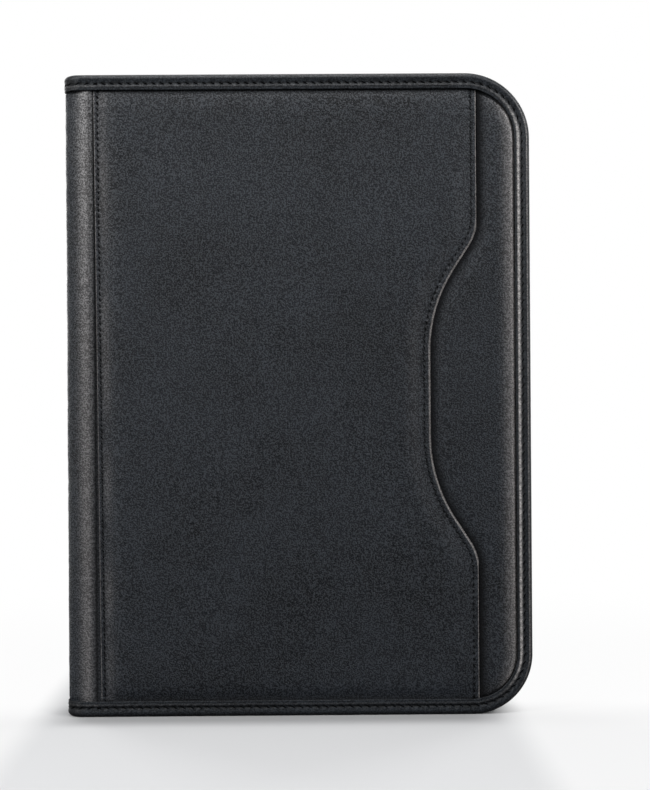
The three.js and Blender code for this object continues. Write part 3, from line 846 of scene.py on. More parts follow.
class Rows:
    """Rings of a lofted piece, with how much painted shade and painted highlight each point gets.
    """

    def __init__(self) -> None:
        """Starts without rings."""
        self.rings: list[Array] = []
        self.marks: dict[str, list[Array]] = {"crease": [], "worn": []}

    def add(self, ring: Array, crease: Array, worn: Array) -> None:
        """Adds a ring.

        Args:
            ring: Places as (u, y, z).
            crease: How much painted shade each gets.
            worn: How much painted highlight, partly rubbing, each gets.
        """
        self.rings.append(ring)
        self.marks["crease"].append(crease)
        self.marks["worn"].append(worn)

    def loft(self, name: str) -> bpy.types.Object:
        """Joins the rings into a capped tube of that name."""
        marks = {key: np.array(values) for key, values in self.marks.items()}
        return loft(name, np.array(self.rings), marks)


class Outline:
    """A closed outline in (u, z), walked counter-clockwise, that answers distances."""

    def __init__(self, corners: Sequence[Sequence[float]], spacing: float) -> None:
        """Divides the outline into steps.

        Args:
            corners: Points of the outline, curves already divided.
            spacing: Longest step in millimetres.
        """
        points = []
        loop = np.array(corners, float)
        for a, b in zip(loop, np.roll(loop, -1, 0)):
            steps = max(1, math.ceil(np.linalg.norm(b - a) / spacing - 1e-6))
            points += [a + (b - a) * i / steps for i in range(steps)]
        self.points = np.array(points)
        following = np.roll(self.points, -1, 0)
        area = (self.points[:, 0] * following[:, 1] - following[:, 0] * self.points[:, 1]).sum()
        if area < 0:
            self.points = self.points[::-1].copy()
            following = np.roll(self.points, -1, 0)
        self.steps = following - self.points
        self.lengths = np.linalg.norm(self.steps, axis=1)
        self.starts = np.concatenate([[0], np.cumsum(self.lengths)[:-1]])

    def normals(self) -> Array:
        """Works out inward normals.

        Returns:
            One for each point.
        """
        along = self.steps / self.lengths[:, None]
        mean = along + np.roll(along, 1, 0)
        inward = np.stack([-mean[:, 1], mean[:, 0]], 1)
        return inward / np.linalg.norm(inward, axis=1)[:, None]

    def nearest(self, places: Array) -> tuple[Array, Array]:
        """Distance to the outline and distance walked to the nearest place on it."""
        return nearest_on(self.points, self.steps, self.starts, self.lengths, places)

    def holds(self, places: Array) -> Array:
        """Whether places lie inside the outline.

        Args:
            places: Places as (u, z).

        Returns:
            Yes or no for each.
        """
        inside = np.zeros(len(places), bool)
        for (u, z), (du, dz) in zip(self.points, self.steps):
            if dz == 0:
                continue
            crosses = (z > places[:, 1]) != (z + dz > places[:, 1])
            inside ^= crosses & (places[:, 0] < u + du * (places[:, 1] - z) / dz)
        return inside


def nearest_on(
    points: Array, steps: Array, starts: Array, lengths: Array, places: Array
) -> tuple[Array, Array]:
    """Finds the nearest place on a chain of steps.

    Args:
        points: Start of each step.
        steps: The steps.
        starts: Distance walked to the start of each.
        lengths: Length of each.
        places: Places to look from.

    Returns:
        Distances to the chain, and distances walked along it to there.
    """
    gaps, walked = [], []
    for chunk in np.array_split(places, max(1, len(places) // 1500)):
        rel = chunk[:, None, :] - points[None]
        t = (rel * steps[None]).sum(2) / (lengths**2)[None]
        t = np.clip(t, 0, 1)
        away = rel - steps[None] * t[..., None]
        gap = (away**2).sum(2)
        best = gap.argmin(1)
        rows = np.arange(len(chunk))
        gaps.append(np.sqrt(gap[rows, best]))
        walked.append(starts[best] + t[rows, best] * lengths[best])
    return np.concatenate(gaps), np.concatenate(walked)


class Track:
    """An open line in (u, z) that answers signed distances, such as the pocket mouth."""

    def __init__(self, points: Array) -> None:
        """Keeps the line.

        Args:
            points: Places along it.
        """
        self.points = np.array(points, float)
        self.steps = self.points[1:] - self.points[:-1]
        self.lengths = np.linalg.norm(self.steps, axis=1)
        self.starts = np.concatenate([[0], np.cumsum(self.lengths)[:-1]])

    def normals(self) -> Array:
        """Works out normals to the right of the walk.

        Returns:
            One for each point.
        """
        along = self.steps / self.lengths[:, None]
        mean = np.concatenate([along[:1], along[1:] + along[:-1], along[-1:]])
        right = np.stack([mean[:, 1], -mean[:, 0]], 1)
        return right / np.linalg.norm(right, axis=1)[:, None]

    def nearest(self, places: Array) -> tuple[Array, Array]:
        """Finds the nearest place on the line.

        Args:
            places: Places to look from.

        Returns:
            Distances, positive to the line's right, and distances walked to there.
        """
        gap, walked = nearest_on(
            self.points[:-1], self.steps, self.starts, self.lengths, places
        )
        k = np.clip(np.searchsorted(self.starts, walked, "right") - 1, 0, len(self.steps) - 1)
        rel = places - self.points[k]
        cross = self.steps[k, 0] * rel[:, 1] - self.steps[k, 1] * rel[:, 0]
        return np.where(cross < 0, gap, -gap), walked


@dataclass
class Spots:
    """Places on a sheet, with what its height rule may ask about them."""

    u: Array
    z: Array
    edge: Array
    extra: dict[str, Array] = field(default_factory=dict)

    @property
    def depth(self) -> Array:
        """Distance in from the rim of the case."""
        return rim_depth(self.u, self.z)


CORNERS = (
    (CASE.upper_radius, CASE.height - CASE.upper_radius, 1),
    (CASE.lower_radius, CASE.lower_radius, -1),
)


def rim_depth(u: Array, z: Array) -> Array:
    """Distance in from the outer rim of the case.

    Args:
        u: Places across a cover.
        z: Places up it.

    Returns:
        One distance for each place.
    """
    depth = np.minimum.reduce([CASE.width - u, z, CASE.height - z])
    for radius, centre_z, sign in CORNERS:
        centre_u = CASE.width - radius
        corner = (u > centre_u) & (sign * (z - centre_z) > 0)
        depth = np.where(corner, radius - np.hypot(u - centre_u, z - centre_z), depth)
    return depth


def arc(centre: Sequence[float], radius: float, start: float, end: float, step: float) -> Array:
    """Divides an arc.

    Args:
        centre: Its centre.
        radius: Its radius.
        start: First angle in radians.
        end: Last angle.
        step: Longest step.

    Returns:
        Places on it.
    """
    count = max(2, math.ceil(abs(end - start) * radius / step))
    angles = np.linspace(start, end, count + 1)
    return np.stack(
        [centre[0] + radius * np.cos(angles), centre[1] + radius * np.sin(angles)], 1
    )


def cover_corners(left: float, inset: float) -> list:
    """Corners of a cover's outline, counter-clockwise from its lower left.

    Args:
        left: Its straight left edge.
        inset: Distance in from the rim at the other edges.

    Returns:
        Places as (u, z).
    """
    low, high = CASE.lower_radius, CASE.upper_radius
    lower = arc((CASE.width - low, low), low - inset, -math.pi / 2, 0, 1.0)
    upper = arc((CASE.width - high, CASE.height - high), high - inset, 0, math.pi / 2, 1.0)
    return [(left, inset), *lower.tolist(), *upper.tolist(), (left, CASE.height - inset)]


def fill(places: Array, loop: list[int]) -> tuple:
    """Triangulates places inside a loop.

    Args:
        places: Places as (u, z).
        loop: Numbers of the places round the edge.

    Returns:
        What Blender's triangulation returns.
    """
    pairs = list(zip(loop, loop[1:] + loop[:1]))
    return geometry.delaunay_2d_cdt([Vector(p) for p in places], pairs, [loop], 1, 1e-4, True)


class Sheet:
    """A sheet over an outline whose visible surface follows a height rule."""

    def __init__(
        self,
        outline: Outline,
        rings: Sequence[float],
        grid: float,
        extra: Array | None = None,
        tracks: dict[str, Track] | None = None,
    ) -> None:
        """Scatters the sheet's points and triangulates them.

        Args:
            outline: Edge of the sheet.
            rings: Distances in from the edge that get a row of points.
            grid: Spacing of the points in the middle.
            extra: More points to include.
            tracks: Lines whose distance the height rule asks for.
        """
        self.outline = outline
        edge_points = outline.points
        inward = outline.normals()
        layers = [edge_points]
        for reach in rings:
            ring = edge_points + inward * reach
            if reach > 5:
                ring = ring[::2]
            gap, _ = outline.nearest(ring)
            layers.append(ring[(gap > reach * 0.93) & outline.holds(ring)])
        low, high = edge_points.min(0), edge_points.max(0)
        across = np.arange(low[0] + grid / 2, high[0], grid)
        upward = np.arange(low[1] + grid / 2, high[1], grid)
        mesh = np.stack(np.meshgrid(across, upward), -1)
        mesh[1::2, :, 0] += grid / 2
        middle = mesh.reshape(-1, 2)
        if extra is not None:
            extra = extra[outline.holds(extra)]
            gap, _ = outline.nearest(extra)
            layers.append(extra[gap > 0.6])
            covered, apart = (
                np.min([np.abs(t.nearest(spots)[0]) for t in tracks.values()], 0)
                for spots in (extra, middle)
            )
            middle = middle[apart > covered.max() + grid * 0.4]
        gap, _ = outline.nearest(middle)
        layers.append(middle[(gap > max(rings) + grid * 0.35) & outline.holds(middle)])
        places = np.concatenate(layers)
        loop = list(range(len(edge_points)))
        found = fill(places, loop)
        self.places = np.array([tuple(p) for p in found[0]])
        self.faces = [tuple(f) for f in found[2]]
        where = {old: new for new, olds in enumerate(found[3]) for old in olds}
        self.loop = [where[i] for i in loop]
        edge, _ = outline.nearest(self.places)
        self.spots = Spots(self.places[:, 0], self.places[:, 1], edge)
        for key, track in (tracks or {}).items():
            gap, along = track.nearest(self.places)
            self.spots.extra[key] = gap
            self.spots.extra[key + "_walked"] = along

    def build(
        self, name: str, sign: int, shown: Array, hidden: Any, marks: dict[str, Array]
    ) -> bpy.types.Object:
        """Makes the closed mesh.

        Args:
            name: Name of the piece.
            sign: Sign of y.
            shown: Height of the visible surface at each point.
            hidden: Height of the hidden surface, one number or one for each edge point.
            marks: Numbers for each point.

        Returns:
            The object.
        """
        count = len(self.places)
        ring = self.places[self.loop]
        faces = list(self.faces)
        n = len(self.loop)
        for i in range(n):
            k = (i + 1) % n
            faces.append((self.loop[k], self.loop[i], count + i, count + k))
        under = fill(ring, list(range(n)))
        where = {new: olds[0] for new, olds in enumerate(under[3]) if olds}
        faces += [tuple(count + where[i] for i in reversed(f)) for f in under[2]]
        points = np.concatenate([lifted(self.places, sign * shown), lifted(ring, sign * hidden)])
        padded = {k: np.concatenate([v, np.zeros(n)]) for k, v in marks.items()}
        return make_piece(name, points, faces, padded)


class StitchTree(NodeWriter):
    """Geometry nodes that set one thread between each pair of holes along a line."""

    def __init__(self) -> None:
        """Builds the node group, with its sizes as named inputs."""
        super().__init__(bpy.data.node_groups.new("stitch_line", "GeometryNodeTree"))
        face = self.tree.interface
        face.new_socket("Geometry", in_out="INPUT", socket_type="NodeSocketGeometry")
        for label in ("Pitch", "Thread Length", "Thread Width", "Slant"):
            face.new_socket(label, in_out="INPUT", socket_type="NodeSocketFloat")
        face.new_socket("Finish", in_out="INPUT", socket_type="NodeSocketMaterial")
        face.new_socket("Geometry", in_out="OUTPUT", socket_type="NodeSocketGeometry")
        given = self.add("NodeGroupInput").outputs
        holes = self.step(
            "GeometryNodeResampleCurve",
            {"mode": "LENGTH"},
            Curve=self.step("GeometryNodeMeshToCurve", Mesh=given["Geometry"]),
            Length=given["Pitch"],
        )
        along = self.step(
            "FunctionNodeAlignRotationToVector",
            {"axis": "X"},
            Vector=self.step("GeometryNodeInputTangent"),
        )
        out = self.add(
            "GeometryNodeInputNamedAttribute", {"data_type": "FLOAT_VECTOR"}, {"Name": "out"}
        )
        upright = self.step(
            "FunctionNodeAlignRotationToVector",
            {"axis": "Z", "pivot_axis": "X"},
            Rotation=along,
            Vector=out.outputs[0],
        )
        slant = self.step("ShaderNodeCombineXYZ", Z=given["Slant"])
        turned = self.step(
            "FunctionNodeRotateRotation",
            {"rotation_space": "LOCAL"},
            Rotation=upright,
            Rotate_By=self.step("FunctionNodeEulerToRotation", Euler=slant),
        )
        width = given["Thread Width"]
        threads = self.step(
            "GeometryNodeInstanceOnPoints",
            Points=holes,
            Instance=self.step("GeometryNodeMeshUVSphere", Segments=8, Rings=6, Radius=0.5),
            Rotation=turned,
            Scale=self.step("ShaderNodeCombineXYZ", X=given["Thread Length"], Y=width, Z=width),
        )
        real = self.step("GeometryNodeRealizeInstances", Geometry=threads)
        smoothed = self.add("GeometryNodeSetShadeSmooth", {}, {0: real}).outputs[0]
        done = self.step("GeometryNodeSetMaterial", Geometry=smoothed, Material=given["Finish"])
        self.add("NodeGroupOutput", {}, {0: done})

    def step(self, kind: str, settings: dict | None = None, **inputs: Any) -> Any:
        """Adds a node.

        Args:
            kind: Node type.
            settings: Properties to set first.
            inputs: Values or links, with underscores for spaces in socket names.

        Returns:
            Its first output.
        """
        named = {key.replace("_", " "): value for key, value in inputs.items()}
        return self.add(kind, settings, named).outputs[0]


@dataclass
class StitchRow:
    """One sewn row: threads along a line on a surface.

    Attributes:
        name: Name of the piece.
        points: Places along the row as (u, y, z) in millimetres.
        outward: Direction away from the leather at each place.
        pitch: Distance between holes.
        length: Length of the thread that shows.
        width: Thickness of the thread.
        slant: Turn of each thread away from the row, in radians.
    """

    name: str
    points: Array
    outward: Array
    pitch: float
    length: float
    width: float = 0.62
    slant: float = 0.42

    def build(self) -> bpy.types.Object:
        """Makes the row as a plain mesh.

        Returns:
            The threads, for the caller to set on a body.
        """
        mesh = bpy.data.meshes.new(self.name + "_line")
        edges = [(i, i + 1) for i in range(len(self.points) - 1)]
        mesh.from_pydata(to_frame(self.points).tolist(), edges, [])
        layer = mesh.attributes.new("out", "FLOAT_VECTOR", "POINT")
        layer.data.foreach_set("vector", np.asarray(self.outward, np.float32).ravel())
        line = put_in_scene(self.name + "_line", mesh)
        modifier = line.modifiers.new("stitches", "NODES")
        modifier.node_group = bpy.data.node_groups.get("stitch_line") or StitchTree().tree
        values = {
            "Pitch": self.pitch * MM,
            "Thread Length": self.length * MM,
            "Thread Width": self.width * MM,
            "Slant": self.slant,
            "Finish": Finish.STITCH.material(),
        }
        for item in modifier.node_group.interface.items_tree:
            if item.in_out == "INPUT" and item.name in values:
                modifier[item.identifier] = values[item.name]
        plain = plain_mesh(line)
        bpy.data.objects.remove(line)
        piece = put_in_scene(self.name, plain)
        Finish.STITCH.paint(piece)
        return piece


class Rim:
    """The rim of a cover, from the spine's upper end round to its lower end."""

    def __init__(self, start: float, depth: float) -> None:
        """Measures the rim.

        Args:
            start: Distance from the spine where the walk starts and ends.
            depth: Distance in from the rim at which the walk is measured.
        """
        self.start = start
        upper, lower = CASE.upper_radius, CASE.lower_radius
        self.spans = np.array(
            [
                CASE.width - upper - start,
                (upper - depth) * math.pi / 2,
                CASE.height - upper - lower,
                (lower - depth) * math.pi / 2,
                CASE.width - lower - start,
            ]
        )
        self.ends = np.cumsum(self.spans)
        self.length = float(self.ends[-1])

    def anchors(self, walked: Array) -> tuple[Array, Array]:
        """Places on the outermost rim and the inward direction at each.

        Args:
            walked: Distances along the walk.

        Returns:
            Places and directions as (u, z).
        """
        places, inward = [], []
        upper, lower = CASE.upper_radius, CASE.lower_radius
        a, b, c, d, _ = self.ends
        for s in walked:
            if s < a:
                spot, way = (self.start + s, CASE.height), (0, -1)
            elif s < b:
                turn = math.pi / 2 * (1 - (s - a) / self.spans[1])
                way = (-math.cos(turn), -math.sin(turn))
                spot = (CASE.width - upper - way[0] * upper, CASE.height - upper - way[1] * upper)
            elif s < c:
                spot, way = (CASE.width, CASE.height - upper - (s - b)), (-1, 0)
            elif s < d:
                turn = -math.pi / 2 * (s - c) / self.spans[3]
                way = (-math.cos(turn), -math.sin(turn))
                spot = (CASE.width - lower - way[0] * lower, lower - way[1] * lower)
            else:
                spot, way = (self.start + self.length - s, 0), (0, 1)
            places.append(spot)
            inward.append(way)
        return np.array(places, float), np.array(inward, float)


@dataclass
class BindingBand:
    """The folded leather band round the edge: its section and its sewing.

    A section point is a depth in from the rim and a distance in from the outer face. The stitches
    lie in a valley; stray is how far their row moves between the fore edge and the other edges,
    and thread is the share of the pitch that each thread spans.
    """

    stitch_depth: float = 4.45
    valley: float = 0.50
    pitch: float = 4.3
    pucker: float = 0.22
    slant: float = 1.5
    stray: float = 0.33
    step: float = 0.75
    leather: float = 0.7
    thread: float = 0.72

    def section(self, back_face: float) -> Array:
        """The closed section.

        Args:
            back_face: Distance in from the outer face to the band's face on the inside.

        Returns:
            Points as (depth, inward).
        """
        v = self.valley
        face = [
            (7.95, 0.82), (8.07, 0.66), (8.10, 0.48), (8.03, 0.32), (7.85, 0.22), (7.5, 0.19),
            (7.1, 0.21), (6.7, 0.16), (6.35, 0.06), (6.05, 0.0), (5.75, 0.03), (5.42, 0.13),
            (5.1, 0.28), (4.76, v - 0.05), (4.45, v), (4.2, v - 0.02), (3.9, v - 0.12),
            (3.5, 0.28), (3.0, 0.16), (2.5, 0.09), (2.1, 0.07), (1.75, 0.12), (1.42, 0.25),
            (1.08, 0.46), (0.76, 0.72), (0.46, 1.02), (0.2, 1.42), (0.0, 2.0),
        ]
        b = back_face
        wall = [
            (0.0, 2.0 + (b - 3.4) * 0.35), (0.03, 2.0 + (b - 3.4) * 0.7), (0.0, b - 1.4),
            (0.07, b - 0.85), (0.25, b - 0.42), (0.58, b - 0.12), (1.1, b), (2.2, b - 0.05),
            (3.4, b - 0.08), (4.2, b - 0.02), (4.55, b - 0.12), (4.6, b - 0.35),
        ]
        t = self.leather
        lining = [
            (4.55, b - t), (2.0, b - t), (0.95, b - t), (t, b - t - 0.3), (t, b * 0.5),
            (t, 1.6), (0.9, 1.1), (1.3, 0.86), (4.4, 0.9), (7.6, 0.88),
        ]
        return np.array(face + wall + lining)

    def sewn_at(self, level: Any) -> Any:
        """Depth of the stitches: the row runs nearer to the rim along the fore edge."""
        return self.stitch_depth + self.stray * (2 * level - 1)

    def puckered(self, section: Array, walked: float, seed: float, level: float = 1.0) -> Array:
        """The section at one place along the row, drawn in by the stitches.

        Args:
            section: Points as (depth, inward).
            walked: Distance along the stitch row.
            seed: Offset into the noise.
            level: 1 along the top and the foot, 0 along the fore edge.

        Returns:
            Moved points.
        """
        depth, inward = section[:, 0], section[:, 1]
        shown = (inward < 1.0) & (depth > 0.3)
        phase = 2 * math.pi * (walked / self.pitch) + self.slant * (depth - self.stitch_depth)
        pull = 0.5 + 0.5 * np.cos(phase)
        inner_side = bump(depth, 5.45, 0.75) * self.pucker
        outer_side = bump(depth, 3.4, 0.9) * self.pucker * 0.55
        hole = bump(depth, self.stitch_depth, 0.42) * 0.3
        sharp = (0.5 + 0.5 * math.cos(2 * math.pi * walked / self.pitch)) ** 3
        wander = noise.noise(Vector((walked / 17.0, seed, 0.0))) * 0.06
        moved = section.copy()
        moved[:, 1] += np.where(shown, (inner_side + outer_side) * pull + hole * sharp, 0)
        moved[:, 1] += np.where(shown, wander * bump(depth, 3.0, 3.0), 0)
        rough = noise.noise(Vector((walked / 5.0, seed, 3.0))) * 0.08
        moved[:, 0] += np.where(shown & (depth > 7.0), rough - 0.35 * (1 - level), 0)
        aside = (self.sewn_at(level) - self.stitch_depth) * bump(depth, self.stitch_depth, 1.3)
        moved[:, 0] += np.where(shown, aside, 0)
        return moved

    def row(self, name: str, line: Array, outward: Array, slant: float) -> bpy.types.Object:
        """Sets the band's stitches along a line.

        Args:
            name: Name of the piece.
            line: Places as (u, y, z).
            outward: Direction away from the leather at each.
            slant: Turn of each thread in radians.

        Returns:
            The threads.
        """
        shown = self.pitch * self.thread
        return StitchRow(name, line, outward, self.pitch, shown, slant=slant).build()

    def marks(self, section: Array, walked: float, shine: float) -> tuple[Array, Array]:
        """How much painted shade and painted highlight each section point gets at one place along
        the row.

        Args:
            section: Points as (depth, inward).
            walked: Distance along the stitch row.
            shine: Share of the painted highlight, partly rubbing, more along the fore edge.

        Returns:
            Painted shade and painted highlight, one number for each point.
        """
        depth, inward = section[:, 0], section[:, 1]
        shown = inward < 1.0
        sharp = (0.5 + 0.5 * math.cos(2 * math.pi * walked / self.pitch)) ** 2
        # Painted shade in the stitch holes and in the groove at the band's inner edge.
        crease = bump(depth, self.stitch_depth, 0.6) * (0.35 + 0.65 * sharp)
        crease = crease + bump(depth, 8.15, 0.16) * 0.7
        # Painted highlight on the ridge and the outer bead, partly rubbing.
        ridge = bump(depth, 6.0, 0.55) * (1 - 0.5 * sharp)
        outer = 0.36 * bump(depth, 1.5, 0.3)
        # Painted shade on the band's wall and inner side.
        wall = 0.6 * smooth(inward, 1.1, 1.9)
        return np.where(shown, crease, wall), np.where(shown, (ridge + outer) * shine, 0)


@dataclass
class CoverBinding:
    """The band round one cover, beyond the fold at the spine."""

    side: Side
    band: BindingBand = field(default_factory=BindingBand)
    seed: float = 4.0

    def build(self) -> None:
        """Makes the band and its stitches."""
        sign = self.side.value
        rim = Rim(CASE.wrap_end, self.band.stitch_depth)
        steps = math.ceil(rim.length / self.band.step)
        walked = np.linspace(0, rim.length, steps + 1)
        places, inward = rim.anchors(walked)
        base = self.band.section(CASE.half - CASE.return_height)
        rows = Rows()
        for s, spot, way in zip(walked, places, inward):
            section = self.band.puckered(base, s, self.seed, way[1] ** 2)
            ring = lifted(spot + way * section[:, :1], sign * (CASE.half - section[:, 1]))
            # Painted highlight on the band's ridge, strongest along the fore edge, with painted
            # shade in its holes.
            rows.add(ring, *self.band.marks(base, s, 0.05 + 0.95 * way[0] ** 6))
        piece = rows.loft(f"{self.side.label}_edge_binding")
        dress(piece, Finish.BINDING, self.side.cover, f"{self.side.label}_binding")
        line = places + inward * self.band.sewn_at(inward[:, 1:] ** 2)
        line = lifted(line, sign * (CASE.half - self.band.valley + THREAD_LIFT))
        outward = np.tile([0, sign, 0], (len(line), 1))
        threads = self.band.row(f"{self.side.label}_edge_stitches", line, outward, 0.5 * sign)
        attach(threads, self.side.cover)


@dataclass
class SpineWrap:
    """One end of the band where it goes round from the spine to a cover."""

    side: Side
    upper: bool
    band: BindingBand = field(default_factory=BindingBand)
    spine_back: float = 5.8
    seed: float = 9.0
    # Share of painted highlight on the band's ridge round the spine.
    shine: float = 0.12

    def stations(self) -> list[tuple[float, float, float]]:
        """Divides the walk from the middle of the spine onto the cover.

        Returns:
            Distances walked, turn angles and runs past the corner.
        """
        flat, bend = CASE.corner, CASE.spine_radius * math.pi / 2
        run = CASE.wrap_end - CASE.spine_radius
        made = [(flat * i / 10, 0.0, flat * (i / 10 - 1)) for i in range(11)]
        made += [(flat + bend * i / 22, math.pi / 2 * i / 22, 0.0) for i in range(1, 23)]
        made += [(flat + bend + run * i / 11, math.pi / 2, run * i / 11) for i in range(1, 12)]
        return made

    def put(self, turn: float, run: float, inward: Array) -> tuple[Array, Array]:
        """Finds places at a station.

        Args:
            turn: Angle turned round the spine's corner.
            run: Run past the corner, or before it where negative.
            inward: Distances in from the outer face.

        Returns:
            Their u, and their y taken to the cover's side.
        """
        radius = CASE.spine_radius
        u = radius - (radius - inward) * math.cos(turn)
        h = CASE.corner + (radius - inward) * math.sin(turn)
        return (u, h + run) if run < 0 else (u + run, h)

    def build(self) -> None:
        """Makes the band and its stitches."""
        sign = self.side.value
        end = "top" if self.upper else "bottom"
        cover_back = CASE.half - CASE.return_height
        rows, line, outward = Rows(), [], []
        for walked, turn, run in self.stations():
            share = float(smooth(turn, 0, math.pi / 2))
            base = self.band.section(self.spine_back + (cover_back - self.spine_back) * share)
            section = self.band.puckered(base, walked, self.seed)
            u, h = self.put(turn, run, section[:, 1])
            crease, worn = self.band.marks(base, walked, self.shine)
            # Painted shade over the bend round the spine's corner.
            bend_shade = 0.6 * math.sin(min(2 * turn, math.pi)) * (section[:, 1] < 1.0)
            ring = np.stack([u, sign * h, self.level(section[:, 0])], 1)
            rows.add(ring, np.clip(crease + bend_shade, 0, 1), worn)
            u, h = self.put(turn, run, np.array([self.band.valley - THREAD_LIFT]))
            line.append((u[0], sign * h[0], self.level(self.band.sewn_at(1.0))))
            outward.append((-math.cos(turn), sign * math.sin(turn), 0))
        name = f"spine_binding_{end}_{self.side.label}"
        piece = rows.loft(name)
        dress(piece, Finish.BINDING, "", f"spine_binding_{end}")
        bend_over_fold(piece, self.side)
        threads = self.band.row(name + "_stitches", np.array(line), np.array(outward), 0.5)
        bend_over_fold(threads, self.side)

    def level(self, depth: Any) -> Any:
        """Height above the foot of places at a depth in from this end."""
        return CASE.height - depth if self.upper else depth


def bend_over_fold(piece: bpy.types.Object, side: Side) -> None:
    """Bakes a piece's transform into its mesh; the fold between the spine and a cover is worked out
    but not used.

    Args:
        piece: The piece.
        side: The cover's side.
    """
    sign = side.value
    level = CASE.height / 2 * MM
    reach = CASE.spine_radius - CASE.inset
    start = ((CASE.inset - CASE.width / 2) * MM, sign * CASE.corner * MM, level)
    end = ((CASE.spine_radius - CASE.width / 2) * MM, sign * (CASE.corner + reach) * MM, level)
    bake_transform(piece)


@dataclass
class Seam:
    """How a folded, sewn edge shapes the leather beside it."""

    stitch: float
    pitch: float
    fold: float = 0.65
    bead: float = 0.05
    dip: float = 0.16
    shine: float = 1.0

    def height(self, inside: Array, walked: Array) -> Array:
        """Shapes the leather beside the fold.

        Args:
            inside: Distances in from the fold.
            walked: Distances along it.

        Returns:
            Changes of height.
        """
        e = np.clip(inside, 0, None)
        short = np.clip(self.fold - e, 0, None)
        rolled = -(self.fold - np.sqrt(np.clip(self.fold**2 - short**2, 0, None)))
        phase = 2 * math.pi * walked / self.pitch
        pull = 0.5 + 0.5 * np.cos(phase + 1.4 * (e - self.stitch))
        hole = (0.5 + 0.5 * np.cos(phase)) ** 3
        valley = -self.dip * bump(e, self.stitch, 0.6)
        bead = self.bead * bump(e, self.stitch * 0.5, 0.8) * (1 - 0.3 * pull)
        swell = -0.06 * bump(e, self.stitch + 1.2, 0.9) * pull
        return rolled + valley + bead + swell - 0.26 * bump(e, self.stitch, 0.4) * hole

    def crease(self, inside: Array, walked: Array) -> Array:
        """Painted shade where the thread presses the leather in."""
        phase = 2 * math.pi * walked / self.pitch + 1.2 * (inside - self.stitch)
        return bump(inside, self.stitch, 0.75) * (0.12 + 0.88 * (0.5 - 0.5 * np.cos(phase)) ** 2)

    def worn(self, inside: Array) -> Array:
        """Painted highlight along the fold, partly rubbing."""
        return self.shine * bump(inside, 0.1, 0.21)

    def sew(
        self,
        name: str,
        track: Track,
        way: int,
        side: Side,
        height: float,
        span: float,
        width: float,
        slant: float,
    ) -> bpy.types.Object:
        """Sets stitches beside the edge.

        Args:
            name: Name of the piece.
            track: The edge.
            way: 1 if the leather is to its right, else -1.
            side: Cover that is sewn.
            height: Height of the leather beside the seam.
            span: Share of the pitch that each thread spans.
            width: Thickness of the thread.
            slant: Turn of each thread in radians.

        Returns:
            The threads.
        """
        line = track.points + track.normals() * way * self.stitch
        line = line[rim_depth(line[:, 0], line[:, 1]) > SEWN_FROM]
        points = lifted(line, side.value * (height - self.dip - 0.05))
        outward = np.tile([0, side.value, 0], (len(line), 1))
        return StitchRow(
            name, points, outward, self.pitch, self.pitch * span, width, slant
        ).build()


MOUTH_SEAM = Seam(stitch=2.7, pitch=3.18)
SPINE_SEAM = Seam(stitch=1.95, pitch=3.05, shine=0.5)
RINGS = (0.05, 0.14, 0.28, 0.5, 0.8, 1.15, 1.5, 1.9, 2.3, 2.7, 3.1, 3.6, 4.4, 5.6, 7.4, 10.0)


def rim_roll(depth: Array) -> Array:
    """How far leather drops where it runs in under the binding."""
    return -1.1 * bump(depth, 7.95, 0.95) - 0.75 * (1 - smooth(depth, 8.0, 18.0))


@dataclass
class PocketMouth:
    """The scooped free edge of the front pocket."""

    edge: float = 212.45
    depth: float = 24.7
    flat: float = 43.4
    floor: float = 78.7
    shoulder: float = 27.3
    slope: float = math.radians(32.9)

    def track(self, step: float = 0.65) -> Track:
        """Draws the edge from the foot to the head of the case.

        Args:
            step: Length of its steps.

        Returns:
            The line.
        """
        middle = CASE.height / 2
        both = self.floor + self.shoulder
        run = (self.depth - both * (1 - math.cos(self.slope))) / math.sin(self.slope)
        rise = self.flat / 2
        top = rise + both * math.sin(self.slope) + run * math.cos(self.slope)
        shoulder_u = self.edge - self.shoulder
        floor_u = self.edge - self.depth + self.floor
        lower = arc((shoulder_u, middle - top), self.shoulder, 0, self.slope, step)
        bowl = arc((floor_u, middle - rise), self.floor, math.pi + self.slope, math.pi, step)
        half = np.concatenate([[(self.edge, -2.0)], lower, bowl])
        upper = half[::-1] * (1, -1) + (0, CASE.height)
        whole = np.concatenate([half, upper])
        return Track(evenly(whole, step))


def evenly(points: Array, step: float) -> Array:
    """Divides a line into steps of about one length.

    Args:
        points: Corners of the line.
        step: Longest step.

    Returns:
        Places along it.
    """
    lengths = np.linalg.norm(points[1:] - points[:-1], axis=1)
    walked = np.concatenate([[0], np.cumsum(lengths)])
    keep = np.concatenate([[True], lengths > 1e-9])
    count = math.ceil(walked[-1] / step)
    at = np.linspace(0, walked[-1], count + 1)
    return np.stack([np.interp(at, walked[keep], points[keep, i]) for i in range(2)], 1)


def straight(bottom: float, top: float, step: float = 0.65) -> Track:
    """A line from the foot to the head at distances from the spine."""
    ends = np.array([(bottom, 0.0), (top, CASE.height)])
    return Track(evenly(ends, step))


